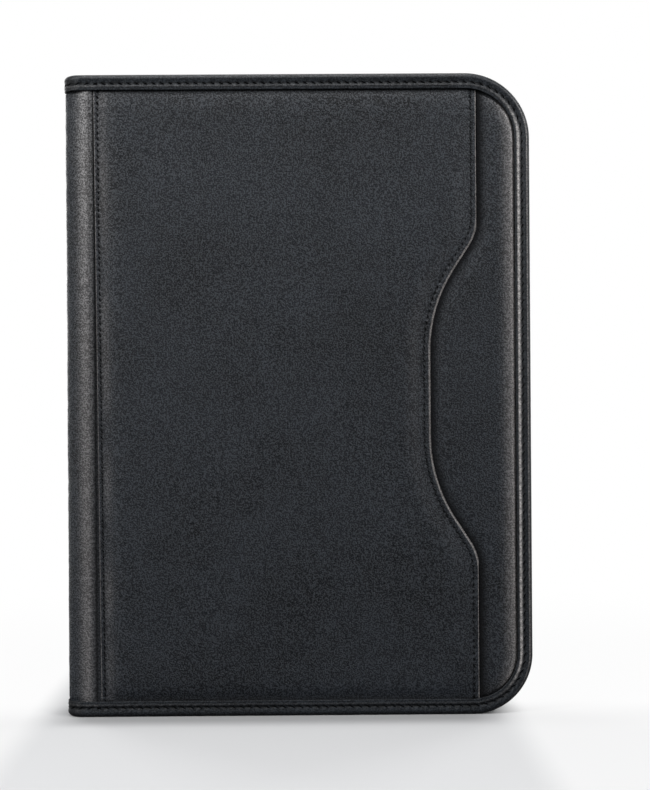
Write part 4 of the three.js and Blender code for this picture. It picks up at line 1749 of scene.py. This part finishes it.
@dataclass
class FrontLeather:
    """The pocket panel with its scooped mouth, and the padded leather behind it."""

    mouth: PocketMouth = field(default_factory=PocketMouth)
    seam_bottom: float = 18.25
    seam_top: float = 15.8
    pocket_back: float = 13.95
    base_back: float = 12.55
    base_top: float = 13.7
    sink: float = 0.4

    def build(self) -> None:
        """Makes both panels and the pocket's stitches."""
        self.line = self.mouth.track()
        self.seam = straight(self.seam_bottom, self.seam_top)
        self.pocket()
        self.base()

    def pocket(self) -> None:
        """Makes the pocket panel."""
        corners = cover_corners(self.seam_bottom, CASE.inset)
        corners[-1] = (self.seam_top, CASE.height - CASE.inset)
        whole = Outline(corners, 0.7)
        mouth = self.line.points
        gap, _ = whole.nearest(mouth)
        inside = mouth[whole.holds(mouth) & (gap > 0.05)]
        side_gap, _ = self.line.nearest(whole.points)
        left = whole.points[side_gap < -0.3]
        start = int(np.argmax(np.linalg.norm(left - np.roll(left, 1, 0), axis=1)))
        left = np.roll(left, -start, 0)
        outline = Outline(np.concatenate([left, inside]), 0.75)
        tracks = {"mouth": self.line, "seam": self.seam}
        sheet = Sheet(outline, RINGS, 3.0, tracks=tracks)
        spots = sheet.spots
        from_mouth = -spots.extra["mouth"]
        from_seam = spots.extra["seam"]
        u, z = spots.u, spots.z
        h = np.full(len(u), CASE.face)
        h += MOUTH_SEAM.height(from_mouth, spots.extra["mouth_walked"])
        h += SPINE_SEAM.height(from_seam, spots.extra["seam_walked"])
        h += 0.95 * smooth(from_mouth, 2.9, 13) * smooth(from_seam, 2.2, 15) - self.sink
        h += rim_roll(spots.depth)
        h += 0.10 * rumple(u, z, 34, 1.7, 1.4) + 0.035 * rumple(u, z, 7, 5.2)
        h = np.clip(h, self.pocket_back + 0.35, FACE_LIMIT)
        # Painted shade along the stitch rows.
        crease = MOUTH_SEAM.crease(from_mouth, spots.extra["mouth_walked"])
        crease += SPINE_SEAM.crease(from_seam, spots.extra["seam_walked"])
        # Painted highlights on the folded edges, partly rubbing.
        worn = MOUTH_SEAM.worn(from_mouth) + SPINE_SEAM.worn(from_seam)
        # Painted shade in the groove under the binding.
        crease += 0.95 * bump(spots.depth, UNDER_BINDING, 0.8)
        # Painted highlight on the padded bulges beside the spine seam and beside the mouth.
        bulge_highlight = 0.10 + 0.13 * rumple(u, z, 26, 3.1)
        worn += np.clip(bulge_highlight, 0, 1) * bump(from_seam, 4.6, 2.4)
        worn += 0.05 * bump(from_mouth, 8.0, 3.2) * bump(z, 170, 70)
        marks = {"crease": np.clip(crease, 0, 1), "worn": worn * (spots.depth > 8.1)}
        piece = sheet.build("pocket_leather_panel", -1, h, self.pocket_back, marks)
        dress(piece, Finish.COVER, "front_cover", "front_pocket_panel")
        for name, track, seam, way in (
            ("pocket_mouth_stitches", self.line, MOUTH_SEAM, -1),
            ("front_spine_seam_stitches", self.seam, SPINE_SEAM, 1),
        ):
            threads = seam.sew(name, track, way, Side.FRONT, CASE.face - self.sink, 0.62, 0.62, 0.5)
            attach(threads, "front_cover")

    def base(self) -> None:
        """Makes the leather behind the pocket, padded where it shows."""
        outline = Outline(cover_corners(21.3, CASE.inset), 1.1)
        normals = self.line.normals()
        reaches = (-2.0, -1.0, -0.3, 0.3, 0.8, 1.3, 1.8, 2.4, 3.2, 4.4, 6.2)
        extra = np.concatenate([self.line.points[::2] + normals[::2] * r for r in reaches])
        rings = (5.6, 6.2, 6.7, 7.2, 7.8, 8.6, 9.8, 11.5, 13.8, 16.5)
        sheet = Sheet(outline, rings, 2.6, extra, {"mouth": self.line})
        spots = sheet.spots
        right = spots.extra["mouth"]
        u, z = spots.u, spots.z
        depth = spots.depth + 0.75 * smooth(u, 212, 230)
        raised = 0.6 * smooth(right, 0.1, 0.9) + 0.4 * smooth(right, 0.7, 9.0)
        h = self.base_top + raised * (CASE.face - self.base_top + 0.16)
        h += raised * (rim_roll(depth) - 0.7 * (1 - smooth(depth, 8.0, 11.8)) * smooth(u, 203, 226))
        h += raised * 0.45 * smooth(right, 3, 13)
        h += raised * self.puckers(u, z, depth)
        h += raised * (0.08 * rumple(u, z, 22, 8.1, 1.3) + 0.03 * rumple(u, z, 5, 2.2))
        h = np.clip(h, self.base_top - 0.1, FACE_LIMIT)
        # Painted shadow beside the pocket's mouth and painted shade in the groove under the
        # binding.
        crease = 1.0 - smooth(right, 0.9, 6.2) + 0.95 * bump(depth, UNDER_BINDING, 0.8)
        marks = {"crease": np.clip(crease, 0, 1), "worn": self.edge_rub(u, depth) * raised}
        piece = sheet.build("padded_base_leather", -1, h, self.base_back, marks)
        dress(piece, Finish.COVER, "front_cover", "front_base_panel")

    @staticmethod
    def edge_rub(u: Array, depth: Array) -> Array:
        """Paints a highlight, partly rubbing, on the padding where it stands highest, beside the
        binding of the fore edge.

        Args:
            u: Places across the cover.
            depth: Their distances in from the rim.

        Returns:
            How much painted highlight and rubbing each gets.
        """
        broad = 0.27 * bump(depth, 11.8, 3.2) + 0.50 * bump(depth, 9.5, 1.2)
        return broad * (0.12 + 0.88 * smooth(u, 221, 229.5))

    @staticmethod
    def puckers(u: Array, z: Array, depth: Array) -> Array:
        """Short wrinkles that the binding draws into the leather at the rounded corners.

        Args:
            u: Places across the cover.
            z: Places up it.
            depth: Their distances in from the rim.

        Returns:
            Changes of height.
        """
        total = np.zeros(len(u))
        for radius, centre_z, sign in CORNERS:
            centre_u = CASE.width - radius
            turn = np.arctan2(sign * (z - centre_z), u - centre_u)
            near = smooth(turn, -1.1, -0.3) * (1 - smooth(turn, 0.9, 1.4))
            along = turn * radius / 2.3
            ripple = [noise.noise(Vector((a, d / 11.0, 4.4 + sign))) for a, d in zip(along, depth)]
            inward = smooth(depth, 7, 9) * (1 - smooth(depth, 13, 24))
            total += 0.2 * np.array(ripple) * near * inward
        return total


@dataclass
class BackLeather:
    """The plain leather of the back cover with its seam at the spine."""

    seam_at: float = 16.0
    hidden: float = 14.15
    sink: float = 0.25

    def build(self) -> None:
        """Makes the panel and its stitches."""
        seam = straight(self.seam_at, self.seam_at)
        outline = Outline(cover_corners(self.seam_at, CASE.inset), 0.9)
        normals = seam.normals()
        extra = np.concatenate([seam.points + normals * r for r in RINGS[:-1]])
        rings = (6.2, 6.9, 7.6, 8.6, 10.2, 13.0, 16.5)
        sheet = Sheet(outline, rings, 3.2, extra, {"seam": seam})
        spots = sheet.spots
        inside, walked = spots.extra["seam"], spots.extra["seam_walked"]
        h = np.full(len(inside), CASE.face) + SPINE_SEAM.height(inside, walked)
        h += 0.75 * smooth(inside, 2.4, 16) - self.sink + rim_roll(spots.depth) * 0.8
        h += 0.10 * rumple(spots.u, spots.z, 36, 11.3, 1.3)
        h += 0.03 * rumple(spots.u, spots.z, 7, 15.2)
        h = np.clip(h, self.hidden + 0.35, FACE_LIMIT)
        # Painted shade at the stitches and under the binding; painted highlight on the seam's fold.
        crease = SPINE_SEAM.crease(inside, walked) + 0.9 * bump(spots.depth, 7.6, 1.1)
        marks = {"crease": crease, "worn": SPINE_SEAM.worn(inside) * (spots.depth > 7.6)}
        piece = sheet.build("back_leather_panel", 1, h, self.hidden, marks)
        dress(piece, Finish.COVER, "back_cover", "back_panel")
        threads = SPINE_SEAM.sew(
            "back_spine_seam_stitches", seam, 1, Side.BACK, CASE.face - self.sink, 0.68, 0.5, -0.35
        )
        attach(threads, "back_cover")


@dataclass
class SpineLeather:
    """Half of the leather that goes round the spine, in under a cover's seam."""

    side: Side
    thickness: float = 1.2
    tail: float = 13.8
    step: float = 1.3
    edge: float = 0.35
    low: float = 5.5
    shoulder: float = 13.7
    crown: float = 15.1

    def profile(self) -> tuple[Array, Array]:
        """Draws the section from the middle of the spine to the tail.

        Returns:
            Its outer line as (u, height), and the normals there.
        """
        edge, low, crown = self.edge, self.low, self.crown
        flat = [(edge - 0.15 * (1 - (h / low) ** 2), h) for h in np.linspace(0, low - 0.4, 7)]
        bend = []
        for t in np.linspace(0, 1, 25):
            a, b, c, d = (1 - t) ** 3, 3 * (1 - t) ** 2 * t, 3 * (1 - t) * t * t, t**3
            u = (a + b) * edge + c * (self.shoulder - 4.0) + d * self.shoulder
            bend.append((u, a * low + b * (low + 3.6) + (c + d) * crown))
        drop = crown - self.tail
        dip = [(13.9, 0.1), (14.4, 0.3), (14.9, 0.58), (15.4, 0.85)]
        tail = [(15.9, 1.0), (17.5, 1.0), (19.6, 1.0)]
        slope = [(u, crown - drop * share) for u, share in dip + tail]
        line = np.array(flat + bend + slope)
        along = np.gradient(line, axis=0)
        outward = np.stack([-along[:, 1], along[:, 0]], 1)
        return line, outward / np.linalg.norm(outward, axis=1)[:, None]

    def build(self) -> None:
        """Makes the leather."""
        sign = self.side.value
        line, outward = self.profile()
        inner = (line - outward * self.thickness)[::-1]
        steps = math.ceil((CASE.height - 2 * CASE.inset) / self.step)
        rows = Rows()
        around = np.concatenate([[0], np.cumsum(np.linalg.norm(np.diff(line, axis=0), axis=1))])
        keep = smooth(around, 0, 2) * (1 - smooth(around, 22, 25))
        blank = np.zeros(len(inner))
        # Painted shade where the leather runs in under the seam's fold.
        fold = 0.9 * bump(line[:, 0], 16.0, 1.0) * (around > 12)
        # Painted highlight along the crown of the spine.
        crown_highlight = 0.30 * bump(line[:, 0], 11.0, 3.6) * (line[:, 1] > CASE.corner)
        crease, worn = np.concatenate([fold, blank]), np.concatenate([crown_highlight, blank])
        for z in np.linspace(CASE.inset, CASE.height - CASE.inset, steps + 1):
            end = min(z, CASE.height - z)
            tuck = -0.55 * float(bump(end, 7.4, 1.0))
            ripple = [
                0.14 * noise.noise(Vector((a / 7.0, z / 3.4, 6.0 + sign)))
                + 0.16 * noise.noise(Vector((a / 16.0, z / 21.0, 2.0 + sign)))
                for a in around
            ]
            move = (tuck * keep + np.array(ripple) * keep)[:, None]
            shown = line + outward * move
            ring = np.concatenate([shown, inner])
            ring = np.stack([ring[:, 0], sign * ring[:, 1], np.full(len(ring), z)], 1)
            rows.add(ring, crease, worn)
        piece = rows.loft(f"{self.side.label}_spine_leather")
        dress(piece, Finish.COVER, "", f"{self.side.label}_spine_strip", "spine_panel")
        bend_over_fold(piece, self.side)


@dataclass
class Linings:
    """The cloth linings and the foam in the covers."""

    left: float = 7.6
    cloth: float = 0.6
    foam_low: float = 11.1

    def build(self) -> None:
        """Makes them."""
        for side, foam_top, foam_left in ((Side.FRONT, 12.45, 12.0), (Side.BACK, 14.05, 21.3)):
            self.lining(side)
            self.foam(side, foam_left, foam_top)
        self.spine_lining()

    def lining(self, side: Side) -> None:
        """Makes the lining of one cover.

        Args:
            side: The cover's side.
        """
        outline = Outline(cover_corners(self.left, CASE.inset), 3.0)
        sheet = Sheet(outline, (3.0,), 6.0)
        spots = sheet.spots
        waves = 0.05 * rumple(spots.u, spots.z, 30, 21.0 + side.value)
        h = CASE.inner + np.clip(waves, -0.02, 0.06) * smooth(spots.edge, 6, 20)
        name = f"{side.label}_lining_cloth"
        piece = sheet.build(name, side.value, h, CASE.inner + self.cloth, {})
        dress(piece, Finish.LINING, side.cover, f"{side.label}_lining")
        width, height = CASE.width - CASE.inset - self.left, CASE.height - 2 * CASE.inset
        cut = [(4 - math.pi) / 4 * (r - 1) ** 2 for r in (CASE.upper_radius, CASE.lower_radius)]
        area = (width * height - sum(cut)) * MM * MM
        width * MM
        height * MM

    def foam(self, side: Side, left: float, top: float) -> None:
        """Makes the foam under the leather of one cover.

        Args:
            side: The cover's side.
            left: Its straight left edge.
            top: Height of its outer face.
        """
        outline = Outline(cover_corners(left, CASE.inset + 0.1), 3.0)
        sheet = Sheet(outline, (0.3, 0.9, 2.0), 8.0)
        spots = sheet.spots
        h = top - 0.3 * (1 - smooth(spots.edge, 0, 1.2))
        h += 0.04 * rumple(spots.u, spots.z, 12, 31.0) * smooth(spots.edge, 1, 4)
        h = np.minimum(h, top)
        piece = sheet.build(f"{side.label}_foam_padding", side.value, h, self.foam_low, {})
        dress(piece, Finish.FOAM, side.cover, f"{side.label}_foam")

    def spine_lining(self) -> None:
        """Makes the lining of the spine."""
        low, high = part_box("spine_lining")
        across = np.linspace(low.y / MM, high.y / MM, 9)
        rows = [
            [(high.x / MM, y, z) for y in across] + [(low.x / MM, y, z) for y in across[::-1]]
            for z in np.linspace(low.z / MM, high.z / MM, 40)
        ]
        piece = loft("spine_lining_cloth", np.array(rows) + (CASE.width / 2, 0, 0))
        dress(piece, Finish.LINING, "spine", "spine_lining")


@dataclass
class ZipTape:
    """The woven tape of one half of the zip, with the cord along its edge."""

    side: Side
    flange_top: float = 8.88
    flange: float = 8.2
    start: float = 14.0
    inset: float = 5.0
    thickness: float = 0.7
    edge: float = 4.9

    def build(self) -> None:
        """Makes the tape."""
        sign = self.side.value
        a, b = self.inset, self.inset + self.thickness
        section = [(1.0, self.flange), (a - 0.4, self.flange), (a - 0.1, self.flange - 0.1)]
        for i in range(9):
            h = self.flange - 0.5 - (self.flange - 0.7 - self.edge) * i / 8
            section.append((a + (0.06 if i % 2 else 0.0), h))
        section += [(a + 0.2, self.edge), (b - 0.2, self.edge), (b, self.edge + 0.2)]
        for i in range(9):
            h = self.edge + 0.5 + (self.flange_top - self.edge - 0.9) * i / 8
            section.append((b - (0.06 if i % 2 else 0.0), h))
        section += [(b - 0.15, self.flange_top), (1.0, self.flange_top)]
        base = np.array(section)
        rim = Rim(self.start, self.inset)
        walked = np.linspace(0, rim.length, math.ceil(rim.length / 1.6) + 1)
        places, inward = rim.anchors(walked)
        rows = []
        for s, spot, way in zip(walked, places, inward):
            sway = 0.05 * noise.noise(Vector((s / 9.0, 2.0, sign))) * (base[:, 1] < 7.5)
            rows.append(lifted(spot + way * (base[:, :1] + sway[:, None]), sign * base[:, 1]))
        piece = loft(f"{self.side.label}_zip_tape_cloth", np.array(rows))
        dress(piece, Finish.TAPE, self.side.cover, f"{self.side.label}_zipper_tape")


@dataclass
class SewnPanel:
    """A pocket panel sewn down round its sides and foot, open along a mouth.

    Attributes:
        name: Name of the piece.
        replaces: CAD node that it stands for.
        side: Cover that it is sewn to.
        corners: Outline, counter-clockwise.
        mouth: First and last corner of the mouth's line, left to right.
        shown: Height of the visible face.
        hidden: Height of the hidden face under the panel.
        seat: Height that the sewn edges are pulled to.
        finish: Its finish.
    """

    name: str
    replaces: str
    side: Side
    corners: list
    mouth: Sequence[Sequence[float]]
    shown: float
    hidden: float
    seat: float
    finish: Finish
    pinch: float = 4.5
    stitch: float = 2.0
    pitch: float = 3.4

    def build(self) -> None:
        """Makes the panel and its stitches."""
        outline = Outline(self.corners, 1.0)
        mouth = Track(evenly(np.array(self.mouth, float), 1.0))
        rings = (0.1, 0.35, 0.8, 1.4, 2.0, 2.7, 4.0, 6.0)
        sheet = Sheet(outline, rings, 6.0, tracks={"mouth": mouth})
        spots = sheet.spots
        near_mouth = np.abs(spots.extra["mouth"])
        open_edge = 1 - smooth(near_mouth - spots.edge, 0.0, 1.5)
        sewn = spots.edge + open_edge * self.pinch
        way = 1.0 if self.seat > self.shown else -1.0
        drop = abs(self.seat - self.shown)
        h = self.shown + way * drop * (1 - smooth(sewn, 0.0, self.pinch))
        fold = np.clip(0.35 - spots.edge, 0, None)
        h += way * fold**2 * 2.0
        h += way * 0.12 * bump(spots.edge, self.stitch, 0.5)
        h += way * 0.05 * rumple(spots.u, spots.z, 26, 41.0) * smooth(spots.edge, 4, 14)
        # Painted shade along the stitch row and painted highlight on the folded edge.
        crease = 0.7 * bump(spots.edge, self.stitch, 0.4)
        worn = 0.5 * bump(spots.edge, 0.15, 0.3)
        ring = sheet.places[sheet.loop]
        ring_mouth = np.abs(mouth.nearest(ring)[0])
        under = np.where(ring_mouth < 0.3, self.hidden, self.seat - way * 0.02)
        piece = sheet.build(self.name, self.side.value, h, under, {"crease": crease, "worn": worn})
        dress(piece, self.finish, self.side.cover, self.replaces)
        self.sew(outline, mouth, way)

    def sew(self, outline: Outline, mouth: Track, way: float) -> None:
        """Sets stitches round the panel, inside its edge.

        Args:
            outline: The panel's edge.
            mouth: Its open edge.
            way: 1 if its seat is higher than its face, else -1.
        """
        ring = outline.points + outline.normals() * self.stitch
        gap, _ = outline.nearest(ring)
        ring = ring[gap > self.stitch * 0.98]
        from_mouth = np.abs(mouth.nearest(ring)[0])
        spread = 1 - smooth(np.array([self.stitch]), 0.0, self.pinch)[0]
        low = self.shown + way * (abs(self.seat - self.shown) * spread + 0.02)
        level = np.where(from_mouth < self.stitch + 0.2, self.shown + way * 0.04, low)
        points = lifted(ring, self.side.value * level)
        outward = np.tile([0, -self.side.value, 0], (len(ring), 1))
        threads = StitchRow(
            self.name + "_stitches", points, outward, self.pitch, self.pitch * 0.66, 0.42, 0.3
        ).build()
        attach(threads, self.side.cover)


def round_corners(low: Vector, high: Vector, up: int, radius: float, count: int) -> list:
    """Walks the corner arcs of a rounded box that is packed in the front cover.

    Args:
        low: Lower corner of the box in metres.
        high: Upper corner.
        up: Number of the second axis, 1 for y, turned to the front, or 2 for z.
        radius: Radius of the corners in millimetres.
        count: Places on each.

    Returns:
        For each place, the arc's centre, the direction from there, and the signs of that corner.
    """
    u = low.x / MM + CASE.width / 2, high.x / MM + CASE.width / 2
    v = (low[up] / MM, high[up] / MM) if up == 2 else (-high[up] / MM, -low[up] / MM)
    walk = []
    for quarter, (a, b) in enumerate(((1, 1), (0, 1), (0, 0), (1, 0))):
        out = np.array([2 * a - 1, 2 * b - 1])
        centre = np.array([u[a], v[b]]) - out * radius
        for angle in np.linspace(quarter * math.pi / 2, (quarter + 1) * math.pi / 2, count):
            walk.append((centre, np.array([math.cos(angle), math.sin(angle)]), out))
    return walk


@dataclass
class Organizer:
    """Everything sewn to the linings: pockets, card window and pen loop."""

    card_left: float = 30.0
    card_right: float = 132.0
    card_foot: float = 40.0
    card_mouths: tuple[float, float, float] = (156.0, 132.0, 108.0)
    card_scoop: float = 3.0
    frame_width: float = 9.0
    frame_round: float = 4.0

    def build(self) -> None:
        """Makes them."""
        self.document_pocket()
        for row, mouth in enumerate(self.card_mouths):
            self.card_pocket(row, mouth)
        self.pad_pocket()
        self.window_frame()
        self.pen_loop()

    def document_pocket(self) -> None:
        """Makes the pocket over the whole inside of the front cover."""
        low, high = 22.0, CASE.width - 6.2
        slope = 35.0 / CASE.width
        at = [(low, 215 + slope * low), (high, 215 + slope * high)]
        corners = [c for c in cover_corners(low, 6.2) if c[1] < at[1][1] - 1]
        corners = [*corners, at[1], at[0]]
        SewnPanel(
            "document_pocket_cloth", "document_pocket", Side.FRONT, corners, at,
            7.50, 8.18, 8.86, Finish.LINING,
        ).build()

    def card_pocket(self, row: int, mouth: float) -> None:
        """Makes one card pocket with a thumb scoop.

        Args:
            row: 0 for the rearmost, and so on.
            mouth: Height of its mouth.
        """
        names = ("card_pocket_back", "card_pocket_middle", "card_pocket_front")
        high = 7.4 - 0.7 * row
        middle = (self.card_left + self.card_right) / 2
        quarter = (self.card_right - self.card_left) / 4
        curve = []
        for t in np.linspace(1, 0, 17):
            u = middle + quarter * ((1 - t) ** 2 - t**2)
            curve.append((u, mouth - 4 * self.card_scoop * t * (1 - t)))
        curve = curve[::-1]
        foot = self.card_foot
        top = [(self.card_right, mouth), *curve, (self.card_left, mouth)]
        corners = [(self.card_left, foot), (self.card_right, foot), *top]
        SewnPanel(
            names[row] + "_leather", names[row], Side.FRONT, corners, top[::-1],
            high - 0.68, high - 0.02, high - 0.1, Finish.POCKET, pinch=2.0, stitch=1.6, pitch=3.0,
        ).build()

    def pad_pocket(self) -> None:
        """Makes the pocket that holds the writing pad."""
        left, top = 11.7, 205.0
        corners = [c for c in cover_corners(left, 6.2) if c[1] < top - 1]
        at = [(left, top), (CASE.width - 6.2, top)]
        SewnPanel(
            "pad_pocket_leather", "pad_pocket", Side.BACK, [*corners, at[1], at[0]], at,
            6.52, 7.48, 8.86, Finish.POCKET, pinch=1.2, stitch=0.5,
        ).build()

    def window_frame(self) -> None:
        """Makes the leather frame round the card window."""
        low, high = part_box("id_window_frame")
        top, under = -high.y / MM, -low.y / MM
        section = (
            (0.0, under), (0.0, top + 0.25), (0.03, top + 0.06), (0.1, top), (0.2, top + 0.1),
            (0.3, top), (0.7, top), (0.8, top + 0.1), (0.9, top), (0.97, top + 0.06),
            (1.0, top + 0.25), (1.0, under),
        )
        rows = []
        for centre, way, out in round_corners(low, high, 2, self.frame_round, 7):
            near = centre + self.frame_round * way
            far = centre + (self.frame_width - 2) * out + 2 * way
            spots = np.array([near + (far - near) * share for share, _ in section])
            rows.append(lifted(spots, [-h for _, h in section]))
        piece = loft("card_window_leather", np.array(rows), closed_rows=True)
        for key in ("crease", "worn"):
            piece.data.attributes.new(key, "FLOAT", "POINT")
        dress(piece, Finish.POCKET, "front_cover", "id_window_frame")

    def pen_loop(self) -> None:
        """Makes the elastic pen loop."""
        low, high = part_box("pen_loop")
        radius, wall = 3.2, 1.0
        z_low, z_high = low.z / MM, high.z / MM
        levels = np.linspace(z_low, z_high, 21)
        ribs = 0.07 * np.sin((levels - z_low) * math.pi * 0.9) ** 2
        ribs += 0.25 * bump(np.minimum(levels - z_low, z_high - levels), 0, 0.5)
        reach = np.concatenate([radius - ribs, np.full(21, radius - wall)])
        up = np.concatenate([levels, levels[::-1]])
        rows = []
        for centre, way, _ in round_corners(low, high, 1, radius, 9):
            spots = centre + way * reach[:, None]
            rows.append(np.stack([spots[:, 0], -spots[:, 1], up], 1))
        piece = loft("pen_loop_elastic", np.array(rows), closed_rows=True)
        dress(piece, Finish.ELASTIC, "front_cover", "pen_loop")


@dataclass
class Hardware:
    """The zip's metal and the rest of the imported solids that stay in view."""

    bevel: float = 0.16

    def build(self) -> None:
        """Finishes the metal with rounded edges, and paints the others."""
        for node in ("zipper_slider", "zipper_pull"):
            self.rounded(node)
        for finish, nodes in (
            (Finish.METAL, ("front_zipper_end_stop",)),
            (Finish.METAL, ("back_zipper_start_stop", "back_zipper_end_stop")),
            (Finish.TEETH, ("front_zipper_teeth", "back_zipper_teeth")),
            (Finish.BOARD, ("front_board", "back_board", "spine_board")),
            (Finish.CHIPBOARD, ("pad_backboard",)),
            (Finish.PAPER, ("pad_sheets",)),
            (Finish.CLOTH, ("pad_head_tape",)),
            (Finish.FILM, ("id_window_pane",)),
        ):
            for node in nodes:
                finish.paint(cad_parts[node])

    def rounded(self, node: str) -> None:
        """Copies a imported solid, welds it and rounds its edges.

        Args:
            node: Name of the solid and of its body.
        """
        piece = put_in_scene(node + "_cast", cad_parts[node].data.copy())
        piece.modifiers.new("weld", "WELD").merge_threshold = 0.004 * MM
        bevel = piece.modifiers.new("bevel", "BEVEL")
        bevel.width = self.bevel * MM
        bevel.segments = 3
        bevel.limit_method = "ANGLE"
        bevel.angle_limit = math.radians(38)
        piece.data = plain_mesh(piece)
        piece.data.shade_smooth()
        piece.data.set_sharp_from_angle(angle=math.radians(40))
        dress(piece, Finish.METAL, node, node)


@dataclass
class Studio:
    """Camera, floor, world and lamps."""

    eye: tuple[float, float, float] = (0.008258, -0.872397, 0.164279)
    yaw: float = 0.006689
    pitch: float = 0.0005
    roll: float = -0.006643
    focal: float = 1667.96
    long_side: float = 790.0
    sensor: float = 36.0

    def build(self) -> None:
        """Sets them up."""
        self.camera()
        self.floor()
        self.world()
        self.lamp("left_softbox", (-0.98, -0.78, 0.72), (0.0, 0.0, 0.28), (0.36, 0.45), 9.3)
        self.lamp("right_softbox", (1.02, -0.72, 0.74), (0.05, 0.0, 0.28), (0.36, 0.45), 6.8)
        self.lamp("overhead_softbox", (0.0, -0.45, 0.80), (0.0, 0.0, 0.28), (0.7, 0.25), 1.8)
        self.lamp("top_strip", (-0.03, 0.045, 1.25), (-0.03, 0.045, 0.0), (0.6, 0.09), 3.0)
        self.lamp("back_left_softbox", (-0.7, 0.95, 0.55), (0.0, 0.0, 0.2), (0.4, 0.9), 4.5)
        self.lamp("back_right_softbox", (0.75, 0.9, 0.55), (0.0, 0.0, 0.2), (0.4, 0.9), 4.5)
        scene = bpy.context.scene
        scene.view_settings.view_transform = "Standard"

    def camera(self) -> None:
        """Places the camera where the photograph was taken from."""
        cy, sy = math.cos(self.yaw), math.sin(self.yaw)
        cp, sp = math.cos(self.pitch), math.sin(self.pitch)
        cr, sr = math.cos(self.roll), math.sin(self.roll)
        forward = Vector((sy * cp, cy * cp, sp))
        right = Vector((cy, -sy, 0))
        up = right.cross(forward)
        turned_right = right * cr + up * sr
        turned_up = up * cr - right * sr
        data = bpy.data.cameras.new("camera")
        data.sensor_width = self.sensor
        data.lens = self.focal / self.long_side * self.sensor
        camera = put_in_scene("camera", data)
        axes = Matrix((turned_right, turned_up, -forward)).transposed()
        camera.matrix_world = Matrix.Translation(self.eye) @ axes.to_4x4()
        bpy.context.scene.camera = camera

    def floor(self) -> None:
        """Makes a pale floor that fades into the white backdrop, with a shadow painted under and in
        front of the case.
        """
        mesh = bpy.data.meshes.new("floor")
        reach = 12.0
        corners = [(-reach, -reach, 0), (reach, -reach, 0), (reach, reach, 0), (-reach, reach, 0)]
        mesh.from_pydata(corners, [], [(0, 1, 2, 3)])
        floor = put_in_scene("floor", mesh)
        p = Painter("floor")
        x, y, _ = p.axes(p.place(scale=1.0))
        away = (x * x + y * y) ** 0.5
        path = p.add("ShaderNodeLightPath")
        straight_on = Value(p, path.outputs["Is Camera Ray"])
        seen = straight_on + Value(p, path.outputs["Is Glossy Ray"]) * y.step(-0.1, 0.4)
        # Painted shadow: the floor's colour is darker in a box under and just in front of the case.
        under = (1 - (x + 0.012).size().step(0.094, 0.122)) * (1 - y.size().step(0.024, 0.046))
        lit = p.mix(under, (0.72, 0.72, 0.725), (0.45, 0.45, 0.455))
        tone = p.mix(straight_on, (0.10, 0.10, 0.102), lit)
        paper = p.add("ShaderNodeBsdfDiffuse", {}, {"Color": tone})
        glow = p.add("ShaderNodeEmission", {}, {"Color": (1.0, 1.0, 1.0), "Strength": 1.0})
        # Beside and far from the case the floor glows white to the camera, which hides the lamps'
        # shadows there.
        side = (x + 0.012).size().step(0.110, 0.132)
        beyond = side * (0.62 + y.step(-0.04, 0.03) * 0.3) + 0.02
        far = away.step(0.3, 0.6)
        share = seen * (far + (1 - far) * beyond)
        blend = p.add(
            "ShaderNodeMixShader", {}, {0: share, 1: paper.outputs[0], 2: glow.outputs[0]}
        )
        p.add("ShaderNodeOutputMaterial", {}, {0: blend.outputs[0]})
        mesh.materials.append(p.material)

    def world(self) -> None:
        """White to the camera, soft grey as light."""
        world = bpy.data.worlds.new("studio")
        bpy.context.scene.world = world
        world.use_nodes = True
        w = NodeWriter(world.node_tree)
        path = w.add("ShaderNodeLightPath").outputs
        place = w.add("ShaderNodeTexCoord").outputs["Generated"]
        y = w.add("ShaderNodeSeparateXYZ", {}, {0: place}).outputs[1]
        span = {"Value": y, "From Min": 0.0, "From Max": 1.3, "To Min": 0.05}
        behind = Value(w, w.add("ShaderNodeMapRange", {}, span).outputs["Result"])
        camera, gloss, through = (
            Value(w, path[f"Is {kind} Ray"]) for kind in ("Camera", "Glossy", "Transmission")
        )
        share = camera.larger(gloss.larger(through) * behind)
        light, shown = (
            w.add("ShaderNodeBackground", {}, {"Color": tint, "Strength": strength}).outputs[0]
            for tint, strength in (((0.93, 0.96, 1.0), 0.22), ((1.0, 1.0, 1.0), 1.0))
        )
        mix = w.add("ShaderNodeMixShader", {}, {0: share, 1: light, 2: shown})
        w.add("ShaderNodeOutputWorld", {}, {0: mix.outputs[0]})

    @staticmethod
    def lamp(
        name: str,
        place: tuple[float, float, float],
        aim: tuple[float, float, float],
        size: tuple[float, float],
        watts: float,
    ) -> None:
        """Adds a rectangular area lamp.

        Args:
            name: Name of the lamp.
            place: Where it is.
            aim: What it points at.
            size: Width and height.
            watts: Power.
        """
        data = bpy.data.lights.new(name, "AREA")
        data.shape = "RECTANGLE"
        data.size, data.size_y = size
        data.energy = watts
        lamp = put_in_scene(name, data)
        lamp.location = place
        direction = Vector(aim) - Vector(place)
        lamp.rotation_euler = direction.to_track_quat("-Z", "Y").to_euler()


def main() -> None:
    """Builds every piece in order."""
    logging.basicConfig(level=logging.INFO, format="%(name)s: %(message)s")
    Studio().build()
    FrontLeather().build()
    BackLeather().build()
    for side in Side:
        SpineLeather(side).build()
        CoverBinding(side).build()
        for upper in (True, False):
            SpineWrap(side, upper).build()
        ZipTape(side).build()
    Linings().build()
    Organizer().build()
    Hardware().build()


if __name__ == "__main__":
    main()
